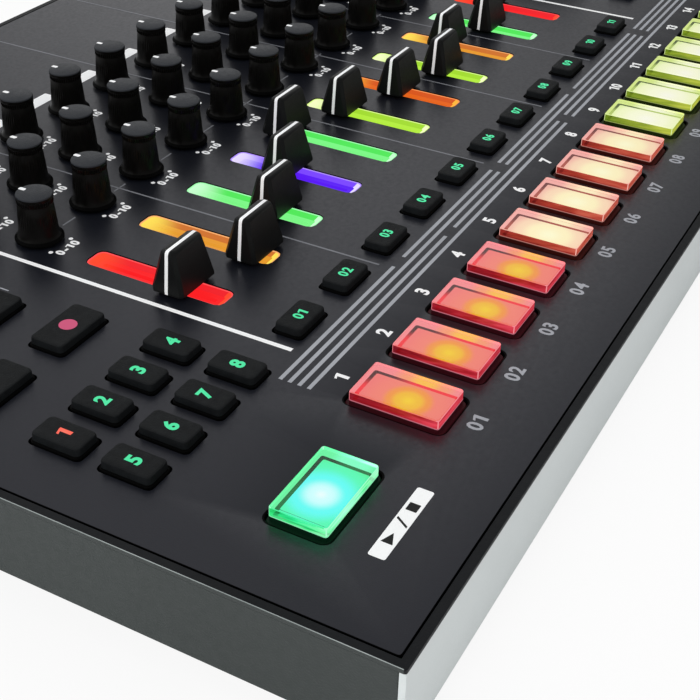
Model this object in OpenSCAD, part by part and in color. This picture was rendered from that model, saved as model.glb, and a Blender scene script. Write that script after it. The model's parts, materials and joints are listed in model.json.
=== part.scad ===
// Step-sequencing drum machine: a sloping desktop case with sixteen step pads, a start pad,
// eleven instrument channels with a lit fader and three knobs each, rubber keys, a dial and a
// display. X runs to the right, Y to the back and Z up. The origin lies under the middle of the
// case, on the surface it stands on. All lengths are in millimetres, all angles in degrees.

/* [Case] */
// Overall width of the case
body_w = 409; // [400:1:430]
// Length of the top along its slope, front edge to back edge
deck_l = 262; // [256:1:280]
// Slope of the top
tilt = 4.5; // [3:0.5:7]
// Height of the side walls, square to the top
band_h = 22; // [21:0.5:26]
// Height of the lower front edge over the table
front_clear = 4; // [3.5:0.5:8]
// Width of the rim around the panel
rim_w = 2.1; // [1.8:0.1:3]
// Thickness of the front and side walls
wall_t = 2.6; // [2.5:0.1:3.5]
// Thickness of the back wall, where the sockets are let in
rear_wall_t = 4.6; // [4.2:0.1:6]
// Thickness of the tray that closes the case
tray_t = 2.4; // [2:0.2:3]
// Inset of the lower body from the side walls
base_inset = 13; // [12:1:20]
// Thickness of the grey strip on the front wall
trim_t = 1.4; // [1:0.1:1.6]
// Height of the rim over the grey strip
trim_drop = 1.2; // [1:0.1:2]

/* [Feet and screws] */
// Radius of a rubber foot
foot_r = 8; // [6:0.5:10]
// Height of a rubber foot
foot_h = 3; // [2:0.5:3.5]
// Distance of a foot's middle from the edges of the lower body
foot_inset = 14; // [12:1:24]
// Radius of a case screw's shank
screw_r = 1.5; // [1.2:0.1:1.6]
// Radius of a case screw's head
screw_head_r = 2.8; // [2.4:0.1:3.0]
// Radius of a screw boss
boss_r = 4; // [3.6:0.1:4.2]

/* [Panel] */
// Thickness of the panel plate
panel_t = 1.5; // [1.2:0.1:2]
// Width of the ledge that carries the panel
ledge_w = 3; // [2.5:0.5:3.5]
// Thickness of that ledge
ledge_t = 2; // [1.5:0.5:3]
// Gap between the panel and the rim
panel_gap = 0.15; // [0.1:0.05:0.3]
// Depth of the control board's upper face under the top of the panel
board_z = 11.3; // [11:0.1:12]
// Thickness of a circuit board
board_t = 1.6; // [1.2:0.2:2]

/* [Step pads] */
// Spacing of the step pads
pad_pitch = 21; // [20.6:0.1:21.2]
// Distance of the first pad's middle from the left edge
first_pad_x = 68.8; // [67:0.2:70]
// Distance of the pads' middle from the panel's front edge
pad_y = 32.3; // [31.8:0.1:33]
// Distance of the start pad's middle from the left edge
start_pad_x = 32.3; // [30:0.1:34]
// Width of a pad's clear top
pad_w = 12.6; // [12:0.1:13.6]
// Length of a pad's clear top
pad_l = 21.3; // [20:0.1:22]
// Height of a pad over the panel
pad_h = 2.95; // [2:0.05:4]
// Width of the opening around a pad
pad_hole_w = 15; // [14.8:0.1:15.4]
// Length of the opening around a pad
pad_hole_l = 24.6; // [24:0.1:25]
// Travel of a pad
pad_travel = 1.5; // [0.5:0.1:1.6]
// Radius of a pad's stem
pad_stem_r = 3; // [2:0.1:3.5]

/* [Channels] */
// Spacing of the instrument channels
channel_pitch = 22.5; // [22:0.1:22.6]
// Distance of the first channel's middle from the left edge
first_channel_x = 84; // [83:0.5:85]
// Distance of the faders' middle from the panel's front edge
fader_y = 109.4; // [108.5:0.1:110.5]
// Length of the lit fader slot
slot_l = 41.6; // [40:0.1:43]
// Width of the lit fader slot
slot_w = 7.4; // [6:0.1:8]
// Travel of a fader
fader_travel = 32; // [24:1:33]
// Length of a fader cap's foot across the slot
cap_w = 15; // [12:0.5:16]
// Length of a fader cap's foot along the slot
cap_l = 9.4; // [8:0.2:10]
// Height of a fader cap's top over the panel
cap_h = 12.8; // [9:0.2:16]
// Gap between a fader cap and the panel
cap_gap = 1; // [0.6:0.1:1.6]
// Thickness of a fader's lever
lever_t = 1.2; // [0.8:0.1:1.4]
// Width of a fader's lever along the slot
lever_w = 4; // [3:0.5:5]

/* [Knobs] */
// Distance of the front knob row from the panel's front edge
knob_row_y = 147.4; // [147:0.1:149]
// Spacing of the knob rows
knob_row_pitch = 22.1; // [21.5:0.1:22.5]
// Height of a knob over the panel
knob_h = 13.8; // [12:0.1:16]
// Radius of a knob's top
knob_top_r = 4.7; // [4.2:0.1:5]
// Radius of a knob's flared foot
knob_skirt_r = 6.45; // [6:0.05:6.8]
// Gap between a knob and the panel
knob_gap = 0.5; // [0.3:0.1:1]
// Radius of a knob's shaft
shaft_r = 3; // [2:0.1:3.2]
// Distance of the left column's first knob from the left edge
side_knob_x = 15.5; // [14:0.5:17]
// Spacing of the left column's knobs
side_knob_pitch = 21.5; // [20:0.5:22]

/* [Keys] */
// Long side of a channel or variation key
key_l = 13.2; // [12:0.1:13.4]
// Short side of a channel or variation key
key_w = 7.9; // [7.4:0.1:8.4]
// Long side of a mode key
mode_key_l = 17.6; // [16:0.1:18]
// Short side of a mode key
mode_key_w = 10; // [9:0.1:10.6]
// Height of a key over the panel
key_h = 2.4; // [1.8:0.1:3.2]
// Travel of a key
key_travel = 1.2; // [0.5:0.1:1.3]
// Distance of the channel keys' middle from the panel's front edge
select_key_y = 68.2; // [67.6:0.1:68.6]
// Distance of the first variation key's middle from the left edge
variation_key_x = 20.4; // [19:0.1:22]
// Spacing of the variation keys across the case
variation_pitch_x = 13; // [12.6:0.1:13.2]
// Distance of the front variation keys' middle from the panel's front edge
variation_key_y = 70.2; // [69.5:0.1:71]
// Spacing of the two rows of variation keys
variation_pitch_y = 17.9; // [16:0.1:18.2]
// Distance of the front right mode key's middle from the left edge
mode_key_x = 52.9; // [52:0.1:53.4]
// Distance of the front mode keys' middle from the panel's front edge
mode_key_y = 113; // [112:0.1:114]
// Spacing of the mode keys across the case
mode_pitch_x = 26.3; // [25:0.1:27]
// Spacing of the two rows of mode keys
mode_pitch_y = 21.4; // [20:0.1:22]
// Offset of the back row of mode keys to the left
mode_row_shift = 4.5; // [3:0.1:5]

/* [Right section] */
// Distance of the right section's middle line from the right edge
right_mid = 45; // [43:1:46]
// Distance of the effect dial's middle from the panel's front edge
dial_y = 116; // [114:1:118]
// Radius of the effect dial
dial_r = 21; // [16:0.5:22]
// Height of the effect dial over the panel
dial_h = 12; // [9:0.5:15]
// Distance of the two right keys' middle from the panel's front edge
right_key_y = 76; // [75:1:78]
// Spacing of the two right keys
right_key_pitch = 26; // [24:1:28]
// Distance of the tempo knob's middle from the panel's front edge
tempo_y = 166; // [165:1:168]
// Radius of the tempo knob
tempo_r = 9; // [8:0.5:10]
// Height of the tempo knob over the panel
tempo_h = 14; // [10:0.5:16]
// Offset of the tempo and volume knobs to the right of the middle line
tempo_shift = 15; // [14:1:17]
// Distance of the display's middle from the panel's front edge
display_y = 196; // [194:1:198]
// Width of the display window
display_w = 44; // [36:1:48]
// Length of the display window, front to back
display_l = 17; // [14:0.5:19]
// Distance of the volume knob's middle from the panel's front edge
volume_y = 224; // [222:1:225]

/* [Sockets] */
// Depth of the sockets' middle under the top of the panel
socket_z = 11.5; // [11:0.1:12]
// Depth of the recess that the sockets stand in
socket_recess = 2; // [1.8:0.1:2.2]
// Bore radius of an audio jack
jack_bore_r = 3.2; // [3:0.05:3.4]
// Outer radius of an audio jack's threaded neck
jack_neck_r = 4.5; // [4.2:0.1:5]
// Depth of an audio jack's bore
jack_depth = 18; // [14:1:20]
// Spacing of the audio jacks
jack_pitch = 20; // [17:1:20]
// Distance of the first audio jack from the left edge
first_jack_x = 120; // [114:1:122]
// Radius of a round data socket's opening
data_r = 6.8; // [6.5:0.1:7]
// Width of the square data socket's opening
usb_w = 8.4; // [8:0.1:9]
// Height of the square data socket's opening
usb_h = 7.6; // [7:0.1:8]
// Bore radius of the power inlet
inlet_r = 2.8; // [2.5:0.1:3]
// Length of the power switch's rocker
rocker_l = 11; // [9:0.5:12]
// Height of the power switch's rocker
rocker_w = 8; // [6:0.5:9]

/* [Hidden] */
// The right section's middle line
right_x = body_w - right_mid;

// There are as many pads and channels as the width takes
pads_end = 25;        // least distance from a pad's middle to the right edge
channels_end = 54;    // least distance from a channel's middle to the right section's middle
pad_count = floor((body_w - first_pad_x - pads_end) / pad_pitch) + 1;
channel_count = floor((right_x - first_channel_x - channels_end) / channel_pitch) + 1;

function two(n) = n < 10 ? str("0", n) : str(n);

gap = 0.3;            // clearance between a moving piece and what it passes
shaft_gap = 0.05;     // radial clearance of a shaft or stem in its bore
eps = 0.02;           // how far a cut runs past a face

// Places of the deck's own frame: X from the left edge, Y from the panel's front edge, up its
// slope, and Z up from the panel's top.
deck_front = -rim_w;
deck_back = deck_front + deck_l;
deck_y0 = -((deck_front + deck_back) * cos(tilt) + band_h * sin(tilt)) / 2;
deck_z0 = front_clear + rim_w * sin(tilt) + band_h * cos(tilt);

// Height over the table of the plane at depth z under the panel, at the case's own y
function plane_z(y, z) =
    deck_z0 + (y - deck_y0 + z * sin(tilt)) * tan(tilt) + z * cos(tilt);

// The lower body: a wedge between the sloping tray and the level floor
base_front = deck_y0 + deck_front * cos(tilt) + band_h * sin(tilt) + base_inset;
base_back = deck_y0 + deck_back * cos(tilt) + band_h * sin(tilt) - base_inset;
base_w = body_w - 2 * base_inset;
base_z = foot_h;

// Screw bosses stand inside the walls, clear of the boards and between the sockets
boss_inset = wall_t + boss_r + 0.5;
boss_front = deck_front + boss_inset;
boss_back = deck_back - rear_wall_t - boss_r - 0.5;
boss_at = [[boss_inset, boss_front], [body_w / 2, boss_front], [body_w - boss_inset, boss_front],
           [boss_inset, boss_back], [first_jack_x - 20, boss_back], [body_w - boss_inset, boss_back]];
boss_top = -panel_t - ledge_t;
tray_top = -band_h + tray_t;

// Boards
jack_body_l = jack_depth + 2;
board_inset = boss_inset + boss_r + 0.8;
board_front = boss_front + boss_r + 0.8;
board_back = deck_back - rear_wall_t - jack_body_l - 2;
board_post_h = 5;
board_post_r = 3;
board_post_x = 90;
board_post_inset = 18;                // from the back of the lower body
board_post_pitch = 80;
board_post_y = [base_back - board_post_inset - board_post_pitch, base_back - board_post_inset];
board_edge = [10, 8];                 // how far the main board runs past its posts
main_board_z = base_z + tray_t + board_post_h;
// Chips on the main board: middle from the board's own middle, width, length and height
chips = [[-38, 2, 24, 24, 2], [9, -12, 18, 16, 1.5], [44, 3, 20, 10, 1.5]];
capacitor_at = [[-78, 2], [-66, 2]];
capacitor_r = 4;
capacitor_h = 5;

// Pads
pad_skirt_w = pad_hole_w - 2 * gap;
pad_skirt_l = pad_hole_l - 2 * gap;
pad_flange = 1;                       // overlap of a pad's flange under the panel
pad_flange_t = 1;
pad_flange_z = -panel_t - gap;
pad_skirt_drop = 0.6;                 // depth of the skirt's top under the panel's top
pad_bevel = 0.3;
guide_top = pad_flange_z - pad_flange_t - pad_travel - gap;
guide_t = 2.5;
guide_l = 35.6;                       // front to back
guide_post_r = 1.8;
stem_end = guide_top - guide_t - 0.7;
dome_r = 2.6;
dome_h = 0.8;

// Keys
key_foot_h = 0.4;                     // height of a key's wider foot over the panel
key_step = 0.35;                      // how much smaller a key's top is, on each side
key_corner = 1.3;
web_t = 1;
web_z = -panel_t - gap;               // top of the sheet that joins the keys
web_margin = 2.4;
plunger_w = 3.6;
plunger_l = 6;
plunger_end = -board_z + key_travel + gap;
variation_cols = 4;

// Faders: the lever reaches into the slide pot under the lit bar
bar_margin = 1.2;
bar_t = 2;
bar_top = -0.6;
bar_flange_z = -panel_t;
slit_w = lever_t + 2 * gap;
slit_l = fader_travel + lever_w + 2 * gap;
pot_slide_w = 8.6;
pot_slide_l = slit_l + 16;
pot_slide_top = bar_flange_z - bar_t;
lever_end = pot_slide_top - 3.2;
cap_top_w = cap_w - 2.4;
cap_top_l = 4.1;
// Place of each fader in its travel, from 0 at the front to 1 at the back
fader_set = [0.26, 0.05, 0.28, 0.58, 1, 0.76, 0.51, 0.35, 0.62, 0.45, 0.7];

// Knobs and their pots
knob_rows = 3;
knob_waist_r = 5.25;                  // body's radius just over the flared foot
bush_r = shaft_r + 1.1;
bush_gap = 0.1;
pot_w = 11;
pot_l = 12;
pot_h = board_z - 4.8;
shaft_end = -board_z + 2.5;
upper_knob_at = concat(
    [for (row = [1:knob_rows - 1], i = [0:channel_count - 1])
        [channel_x(i), knob_row_y + row * knob_row_pitch]],
    [for (row = [1:3], col = [0:2])
        [side_knob_x + col * side_knob_pitch, knob_row_y + row * knob_row_pitch]],
    [[right_x + tempo_shift, volume_y]]);
ctrl_knob_at = [for (i = [0:channel_count - 1]) [channel_x(i), knob_row_y]];
dial_at = [right_x, dial_y];
tempo_at = [right_x + tempo_shift, tempo_y];
pot_at = concat(upper_knob_at, ctrl_knob_at, [dial_at, tempo_at]);

// Keys, by their middles
select_at = [for (i = [0:channel_count - 1]) [channel_x(i), select_key_y]];
variation_at = [for (row = [0:1], col = [0:variation_cols - 1])
    [variation_key_x + col * variation_pitch_x, variation_key_y + row * variation_pitch_y]];
left_mode_at = [for (row = [0:1], col = [0:1])
    [mode_key_x - col * mode_pitch_x - row * mode_row_shift, mode_key_y + row * mode_pitch_y]];
right_mode_at = [for (side = [-1, 1]) [right_x + side * right_key_pitch / 2, right_key_y]];
tap_key_at = [right_x - right_key_pitch / 2, tempo_y];

// Sockets, by their distance from the left edge
jack_count = 7;
data_pitch = 26;
data_x = [for (i = [0:1]) first_jack_x + jack_count * jack_pitch + 6 + i * data_pitch];
usb_x = data_x[1] + 24;
inlet_x = 80;
switch_x = 50;
jack_body_w = 14;
recess_margin = 3;
recess_from = switch_x - 16;
recess_to = usb_x + 16;
socket_face = deck_back - socket_recess;
neck_out = 1.4;
data_body_w = 19;
data_body_h = 15.6;
data_depth = 8;
usb_depth = 9;
inlet_depth = 9.5;
rocker_r = rocker_l / 2;
rocker_pin_r = 1;
rocker_pin_l = 1;
rocker_angle = 7;                     // how far the rocker leans to either side
rocker_face = 1.8;                    // height of the face's ends over the pivot
rocker_dip = 0.7;                     // how much lower the middle of the face is
rocker_y = socket_face - 0.6;

function channel_x(i) = first_channel_x + i * channel_pitch;
function pad_x(i) = first_pad_x + i * pad_pitch;
function fader_at(i) = fader_y + (fader_set[i % len(fader_set)] - 0.5) * fader_travel;

// ---- helpers ----

// Puts its children, drawn in the deck's frame, on the sloping deck
module on_deck() {
    translate([-body_w / 2, deck_y0, deck_z0])
        rotate([tilt, 0, 0])
            children();
}

// Corner points of a rectangle with rounded corners, centred on the origin
function rounded(w, l, r, steps = 2) = [
    for (c = [[1, 1, 0], [-1, 1, 90], [-1, -1, 180], [1, -1, 270]], s = [0:steps])
        [c[0] * (w / 2 - r) + r * cos(c[2] + s * 90 / steps),
         c[1] * (l / 2 - r) + r * sin(c[2] + s * 90 / steps)]];

// Upright block with rounded corners between two heights
module slab(at, w, l, z0, z1, r = 1) {
    translate([at[0], at[1], z0])
        linear_extrude(height = z1 - z0)
            polygon(rounded(w, l, r));
}

// Plain block from its least corner to its greatest
module block(from, to) {
    translate(from)
        cube(to - from);
}

// Upright block whose four top edges are bevelled
module bevelled(at, w, l, z0, z1, bevel, r = 1) {
    intersection() {
        slab(at, w, l, z0, z1, r);
        translate([at[0], at[1] - l / 2, 0])
            rotate([90, 0, 180])
                linear_extrude(height = l)
                    bevel_side(w, z0, z1, bevel);
        translate([at[0] - w / 2, at[1], 0])
            rotate([90, 0, 90])
                linear_extrude(height = w)
                    bevel_side(l, z0, z1, bevel);
    }
}

module bevel_side(w, z0, z1, bevel) {
    polygon([[-w / 2, z0], [w / 2, z0], [w / 2, z1 - bevel], [w / 2 - bevel, z1],
             [-w / 2 + bevel, z1], [-w / 2, z1 - bevel]]);
}

module rod(at, r, z0, z1, fn = 48) {
    translate([at[0], at[1], z0])
        cylinder(r = r, h = z1 - z0, $fn = fn);
}

// Round piece that points out of the back wall, from one depth to another
module rear_rod(x, r, y0, y1, fn = 48) {
    translate([x, y0, -socket_z])
        rotate([-90, 0, 0])
            cylinder(r = r, h = y1 - y0, $fn = fn);
}

// Wedge between the level floor at height z and the plane under the tray, in the case's frame
module wedge(w, y0, y1, z, lift) {
    translate([-w / 2, 0, 0])
        rotate([90, 0, 90])
            linear_extrude(height = w)
                polygon([[y0, z], [y1, z], [y1, plane_z(y1, -band_h) + lift],
                         [y0, plane_z(y0, -band_h) + lift]]);
}

// ---- case ----

module bottom_case() {
    color("#2b2d2f")
        difference() {
            union() {
                on_deck()
                    block([wall_t, deck_front + wall_t, -band_h],
                          [body_w - wall_t, deck_back - rear_wall_t, tray_top]);
                wedge(base_w, base_front, base_back, base_z, tray_t / 2);
            }
            wedge(base_w - 2 * tray_t, base_front + tray_t, base_back - tray_t,
                  base_z + tray_t, tray_t * 3);
            on_deck()
                for (p = boss_at) {
                    rod(p, screw_r + shaft_gap * 2, -band_h - 1, tray_top + 1);
                    rod(p, screw_head_r + shaft_gap * 2, -band_h - 1, -band_h + tray_t / 2);
                }
        }
    color("#2b2d2f")
        for (x = [-1, 1] * board_post_x, y = board_post_y)
            rod([x, y], board_post_r, base_z + tray_t, main_board_z);
}

module top_frame() {
    color("#303335")
        on_deck()
            difference() {
                block([0, deck_front, -band_h], [body_w, deck_back, 0]);
                // the panel lies in the top, on a ledge
                block([rim_w, 0, -panel_t], [body_w - rim_w, deck_back - rim_w, 1]);
                block([rim_w + ledge_w, ledge_w, -panel_t - ledge_t - eps],
                      [body_w - rim_w - ledge_w, deck_back - rear_wall_t - ledge_w, 0]);
                frame_inside();
                // the front strip lies in the front wall
                block([-1, deck_front - 1, -band_h - 1],
                      [body_w + 1, deck_front + trim_t, -trim_drop]);
                socket_recess_cut();
            }
}

// Room inside the frame, under the ledge, less the screw bosses
module frame_inside() {
    difference() {
        block([wall_t, deck_front + wall_t, -band_h - 1],
              [body_w - wall_t, deck_back - rear_wall_t, boss_top]);
        for (p = boss_at)
            difference() {
                rod(p, boss_r, tray_top, boss_top + 1);
                rod(p, screw_r + shaft_gap, tray_top - 1, boss_top - 2);
            }
    }
}

module socket_recess_cut() {
    block([recess_from, socket_face, -band_h + recess_margin],
          [recess_to, deck_back + 1, -recess_margin]);
    for (i = [0:jack_count - 1])
        rear_rod(jack_x(i), jack_neck_r + bush_gap, socket_face - rear_wall_t, deck_back);
    for (x = data_x)
        rear_rod(x, data_r + 1 + bush_gap, socket_face - rear_wall_t, deck_back);
    rear_rod(inlet_x, inlet_r + 1.4 + bush_gap, socket_face - rear_wall_t, deck_back);
    rear_block(usb_x, usb_w + 2 + 2 * bush_gap, usb_h + 2 + 2 * bush_gap,
               socket_face - rear_wall_t, deck_back);
    rear_block(switch_x, rocker_l + 3 + 2 * bush_gap, rocker_w + 4 + 2 * bush_gap,
               socket_face - rear_wall_t, deck_back);
}

function jack_x(i) = first_jack_x + i * jack_pitch;

module rear_block(x, w, h, y0, y1) {
    block([x - w / 2, y0, -socket_z - h / 2], [x + w / 2, y1, -socket_z + h / 2]);
}

module front_trim() {
    color("#b9bcbe")
        on_deck()
            block([0, deck_front, -band_h], [body_w, deck_front + trim_t, -trim_drop]);
}

module rubber_feet() {
    color("#1c1c1d")
        for (x = [-1, 1] * (base_w / 2 - foot_inset),
             y = [base_front + foot_inset, base_back - foot_inset])
            rod([x, y], foot_r, 0, foot_h);
}

module case_screws() {
    color("#6d7073")
        on_deck()
            for (p = boss_at) {
                rod(p, screw_r, -band_h, -band_h + 10);
                rod(p, screw_head_r, -band_h, -band_h + tray_t / 2 - shaft_gap);
            }
}

// ---- panel ----

module panel_plate() {
    color("#3a3c40")
        on_deck()
            difference() {
                block([rim_w + panel_gap, panel_gap, -panel_t],
                      [body_w - rim_w - panel_gap, deck_back - rim_w - panel_gap, 0]);
                panel_holes();
            }
}

module panel_holes() {
    z0 = -panel_t - 1;
    for (i = [0:pad_count - 1])
        slab([pad_x(i), pad_y], pad_hole_w, pad_hole_l, z0, 1, 2);
    slab([start_pad_x, pad_y], pad_hole_l, pad_hole_w, z0, 1, 2);
    for (i = [0:channel_count - 1])
        slab([channel_x(i), fader_y], slot_w, slot_l, z0, 1, slot_w / 4);
    for (p = pot_at)
        rod(p, bush_r + bush_gap, z0, 1, 32);
    for (p = select_at)
        slab(p, key_l + 2 * gap, key_w + 2 * gap, z0, 1, key_corner);
    for (p = variation_at)
        slab(p, key_w + 2 * gap, key_l + 2 * gap, z0, 1, key_corner);
    for (p = concat(left_mode_at, right_mode_at, [tap_key_at]))
        slab(p, mode_key_l + 2 * gap, mode_key_w + 2 * gap, z0, 1, key_corner);
    slab([right_x, display_y], display_w + 2 * gap, display_l + 2 * gap, z0, 1, 1);
}

// ---- boards and what they carry ----

module main_board() {
    middle = (board_post_y[0] + board_post_y[1]) / 2;
    top = main_board_z + board_t;
    color("#1f6b3c")
        block([-board_post_x - board_edge[0], board_post_y[0] - board_edge[1], main_board_z],
              [board_post_x + board_edge[0], board_post_y[1] + board_edge[1], top]);
    color("#202124")
        for (c = chips)
            block([c[0] - c[2] / 2, middle + c[1] - c[3] / 2, top],
                  [c[0] + c[2] / 2, middle + c[1] + c[3] / 2, top + c[4]]);
    color("#8a8d90")
        for (p = capacitor_at)
            rod([p[0], middle + p[1]], capacitor_r, top, top + capacitor_h);
}

module control_board() {
    top = -board_z;
    color("#1f6b3c")
        on_deck()
            block([board_inset, board_front, top - board_t],
                  [body_w - board_inset, board_back, top]);
    color("#c9c2a8")
        on_deck() {
            for (i = [0:pad_count - 1])
                rod([pad_x(i), pad_y], dome_r, top - eps, top + dome_h, 24);
            rod([start_pad_x, pad_y], dome_r, top - eps, top + dome_h, 24);
        }
}

// Plate whose bores guide the pads' stems, on posts between the panel and the board
module pad_guide() {
    post_y = guide_l / 2 - guide_post_r;
    ends = concat([for (i = [0:3:pad_count - 1]) pad_x(i)], [start_pad_x]);
    color("#d0d2d0")
        on_deck()
            difference() {
                union() {
                    block([board_inset, pad_y - guide_l / 2, guide_top - guide_t],
                          [body_w - board_inset, pad_y + guide_l / 2, guide_top]);
                    for (x = ends, side = [-1, 1])
                        rod([x, pad_y + side * post_y], guide_post_r, -board_z, -panel_t, 24);
                }
                for (i = [0:pad_count - 1])
                    rod([pad_x(i), pad_y], pad_stem_r + shaft_gap, -board_z, 0);
                rod([start_pad_x, pad_y], pad_stem_r + shaft_gap, -board_z, 0);
            }
}

// Lit bars under the fader slots: a trough with a slit for the lever
module led_bars() {
    color("#f4f4ee")
        on_deck()
            for (i = [0:channel_count - 1])
                difference() {
                    union() {
                        slab([channel_x(i), fader_y], slot_w + 2 * bar_margin,
                             slot_l + 2 * bar_margin, bar_flange_z - bar_t, bar_flange_z, 1);
                        slab([channel_x(i), fader_y], slot_w - 0.2, slot_l - 0.2,
                             bar_flange_z - eps, bar_top, slot_w / 4);
                    }
                    translate([channel_x(i), fader_y + slot_l / 2 - 1, 0])
                        rotate([90, 0, 0])
                            linear_extrude(height = slot_l - 2)
                                polygon([[-slit_w / 2, bar_top - 1.2], [slit_w / 2, bar_top - 1.2],
                                         [slot_w / 2 - 0.6, bar_top + eps],
                                         [-slot_w / 2 + 0.6, bar_top + eps]]);
                    slab([channel_x(i), fader_y], slit_w, slit_l, -board_z, 1, slit_w / 4);
                }
}

module slide_pots() {
    color("#5b5e61")
        on_deck()
            for (i = [0:channel_count - 1])
                difference() {
                    slab([channel_x(i), fader_y], pot_slide_w, pot_slide_l,
                         -board_z, pot_slide_top, 0.6);
                    slab([channel_x(i), fader_y], slit_w, slit_l,
                         lever_end - gap, 0, slit_w / 4);
                }
}

module rotary_pots() {
    color("#6a6c6e")
        on_deck()
            for (p = pot_at)
                difference() {
                    union() {
                        block([p[0] - pot_w / 2, p[1] - pot_l / 2, -board_z],
                              [p[0] + pot_w / 2, p[1] + pot_l / 2, -board_z + pot_h]);
                        rod(p, bush_r, -board_z + pot_h - eps, -gap, 32);
                    }
                    rod(p, shaft_r + shaft_gap, shaft_end - gap, 1, 32);
                }
}

module display_module() {
    color("#1a0c0e")
        on_deck() {
            slab([right_x, display_y], display_w, display_l, -panel_t - eps, -0.1, 0.8);
            slab([right_x, display_y], display_w + 4, display_l + 4, -board_z, -panel_t, 0.8);
        }
}

// ---- moving pieces ----

// A pad's clear block, its dark skirt, the flange that holds it in and its stem
module pad(at, w, l) {
    turned = w > l;
    skirt_w = turned ? pad_skirt_l : pad_skirt_w;
    skirt_l = turned ? pad_skirt_w : pad_skirt_l;
    bevelled(at, w + 2 * pad_bevel, l + 2 * pad_bevel, -pad_skirt_drop - eps, pad_h,
             pad_bevel, 1.2);
    slab(at, skirt_w, skirt_l, pad_flange_z - eps, -pad_skirt_drop, 1.7);
    slab(at, skirt_w + 2 * pad_flange, skirt_l + 2 * pad_flange,
         pad_flange_z - pad_flange_t, pad_flange_z, 1.7);
    rod(at, pad_stem_r, stem_end, pad_flange_z - pad_flange_t + eps);
}

module step_pad(i) {
    color(i < 4 ? "#ff4a3d" : i < 8 ? "#ffb09a" : "#d6f25a")
        on_deck()
            pad([pad_x(i), pad_y], pad_w, pad_l);
}

module start_pad() {
    color("#2fe8a0")
        on_deck()
            pad([start_pad_x, pad_y], pad_l, pad_w);
}

// A wedge-shaped cap on a flat lever
module fader(i) {
    x = channel_x(i);
    y = fader_at(i);
    color("#242627")
        on_deck() {
            intersection() {
                translate([x - cap_w / 2, y, 0])
                    rotate([90, 0, 90])
                        linear_extrude(height = cap_w)
                            cap_side(cap_l, cap_top_l);
                translate([x, y + cap_l / 2, 0])
                    rotate([90, 0, 0])
                        linear_extrude(height = cap_l)
                            cap_side(cap_w, cap_top_w);
            }
            block([x - lever_t / 2, y - lever_w / 2, lever_end],
                  [x + lever_t / 2, y + lever_w / 2, cap_gap + eps]);
        }
}

module cap_side(foot, top) {
    lip = 1.2;
    polygon([[-foot / 2, cap_gap], [foot / 2, cap_gap], [foot / 2, cap_gap + lip],
             [top / 2, cap_h], [-top / 2, cap_h], [-foot / 2, cap_gap + lip]]);
}

// A slim round knob with a grooved head and a flared foot, and its shaft
module knob(at) {
    neck_r = knob_top_r - 0.25;
    foot_z = knob_gap + 2.2;
    translate([at[0], at[1], 0])
        rotate_extrude($fn = 48)
            polygon([[0, knob_gap], [knob_skirt_r, knob_gap], [knob_skirt_r, knob_gap + 0.8],
                     [knob_waist_r, foot_z], [neck_r + 0.15, knob_h - 1.9],
                     [neck_r, knob_h - 1.9], [neck_r, knob_h - 1.3],
                     [knob_top_r, knob_h - 1.3], [knob_top_r, knob_h - 0.3],
                     [knob_top_r - 0.3, knob_h], [0, knob_h]]);
    rod(at, shaft_r, shaft_end, knob_gap + eps, 48);
}

module ctrl_knob(i) {
    color("#26282a")
        on_deck()
            knob(ctrl_knob_at[i]);
}

module upper_knobs() {
    color("#26282a")
        on_deck()
            for (p = upper_knob_at)
                knob(p);
}

// A wide dial with a dished top, and its shaft
module effect_dial() {
    rim_h = 2.2;
    dish = 1.6;
    color("#2a2c2e")
        on_deck() {
            translate([dial_at[0], dial_at[1], 0])
                rotate_extrude($fn = 96)
                    polygon([[0, knob_gap], [dial_r, knob_gap], [dial_r, knob_gap + rim_h],
                             [dial_r - 2, knob_gap + rim_h + 1], [dial_r - 3, dial_h - 1],
                             [dial_r - 4, dial_h], [dial_r - 6, dial_h],
                             [dial_r - 9, dial_h - dish], [0, dial_h - dish]]);
            rod(dial_at, shaft_r, shaft_end, knob_gap + eps);
        }
}

module tempo_knob() {
    color("#2a2c2e")
        on_deck() {
            translate([tempo_at[0], tempo_at[1], 0])
                rotate_extrude($fn = 72)
                    polygon([[0, knob_gap], [tempo_r + 1, knob_gap], [tempo_r + 1, knob_gap + 1],
                             [tempo_r, knob_gap + 2.4], [tempo_r - 1, tempo_h - 0.8],
                             [tempo_r - 1.8, tempo_h], [0, tempo_h]]);
            rod(tempo_at, shaft_r, shaft_end, knob_gap + eps);
        }
}

// A rubber key with a wider foot, down to the plunger under its sheet
module key(at, w, l) {
    turned = w < l;
    slab(at, w, l, web_z - eps, key_foot_h, key_corner);
    bevelled(at, w - 2 * key_step, l - 2 * key_step, key_foot_h - eps, key_h, 0.4, key_corner);
    slab(at, turned ? plunger_w : plunger_l, turned ? plunger_l : plunger_w,
         plunger_end, web_z - web_t + eps, 0.8);
}

// The sheet that joins a block of keys
module key_web(places, w, l) {
    xs = [for (p = places) p[0]];
    ys = [for (p = places) p[1]];
    block([min(xs) - w / 2 - web_margin, min(ys) - l / 2 - web_margin, web_z - web_t],
          [max(xs) + w / 2 + web_margin, max(ys) + l / 2 + web_margin, web_z]);
}

module key_block(places, w, l) {
    union() {
        key_web(places, w, l);
        for (p = places)
            key(p, w, l);
    }
}

module select_keys() {
    color("#1d1f20")
        on_deck()
            key_block(select_at, key_l, key_w);
}

module variation_keys() {
    color("#1d1f20")
        on_deck()
            key_block(variation_at, key_w, key_l);
}

module mode_keys() {
    color("#1d1f20")
        on_deck() {
            key_block(left_mode_at, mode_key_l, mode_key_w);
            key_block(right_mode_at, mode_key_l, mode_key_w);
            key_block([tap_key_at], mode_key_l, mode_key_w);
        }
}

// ---- sockets in the back wall ----

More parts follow.
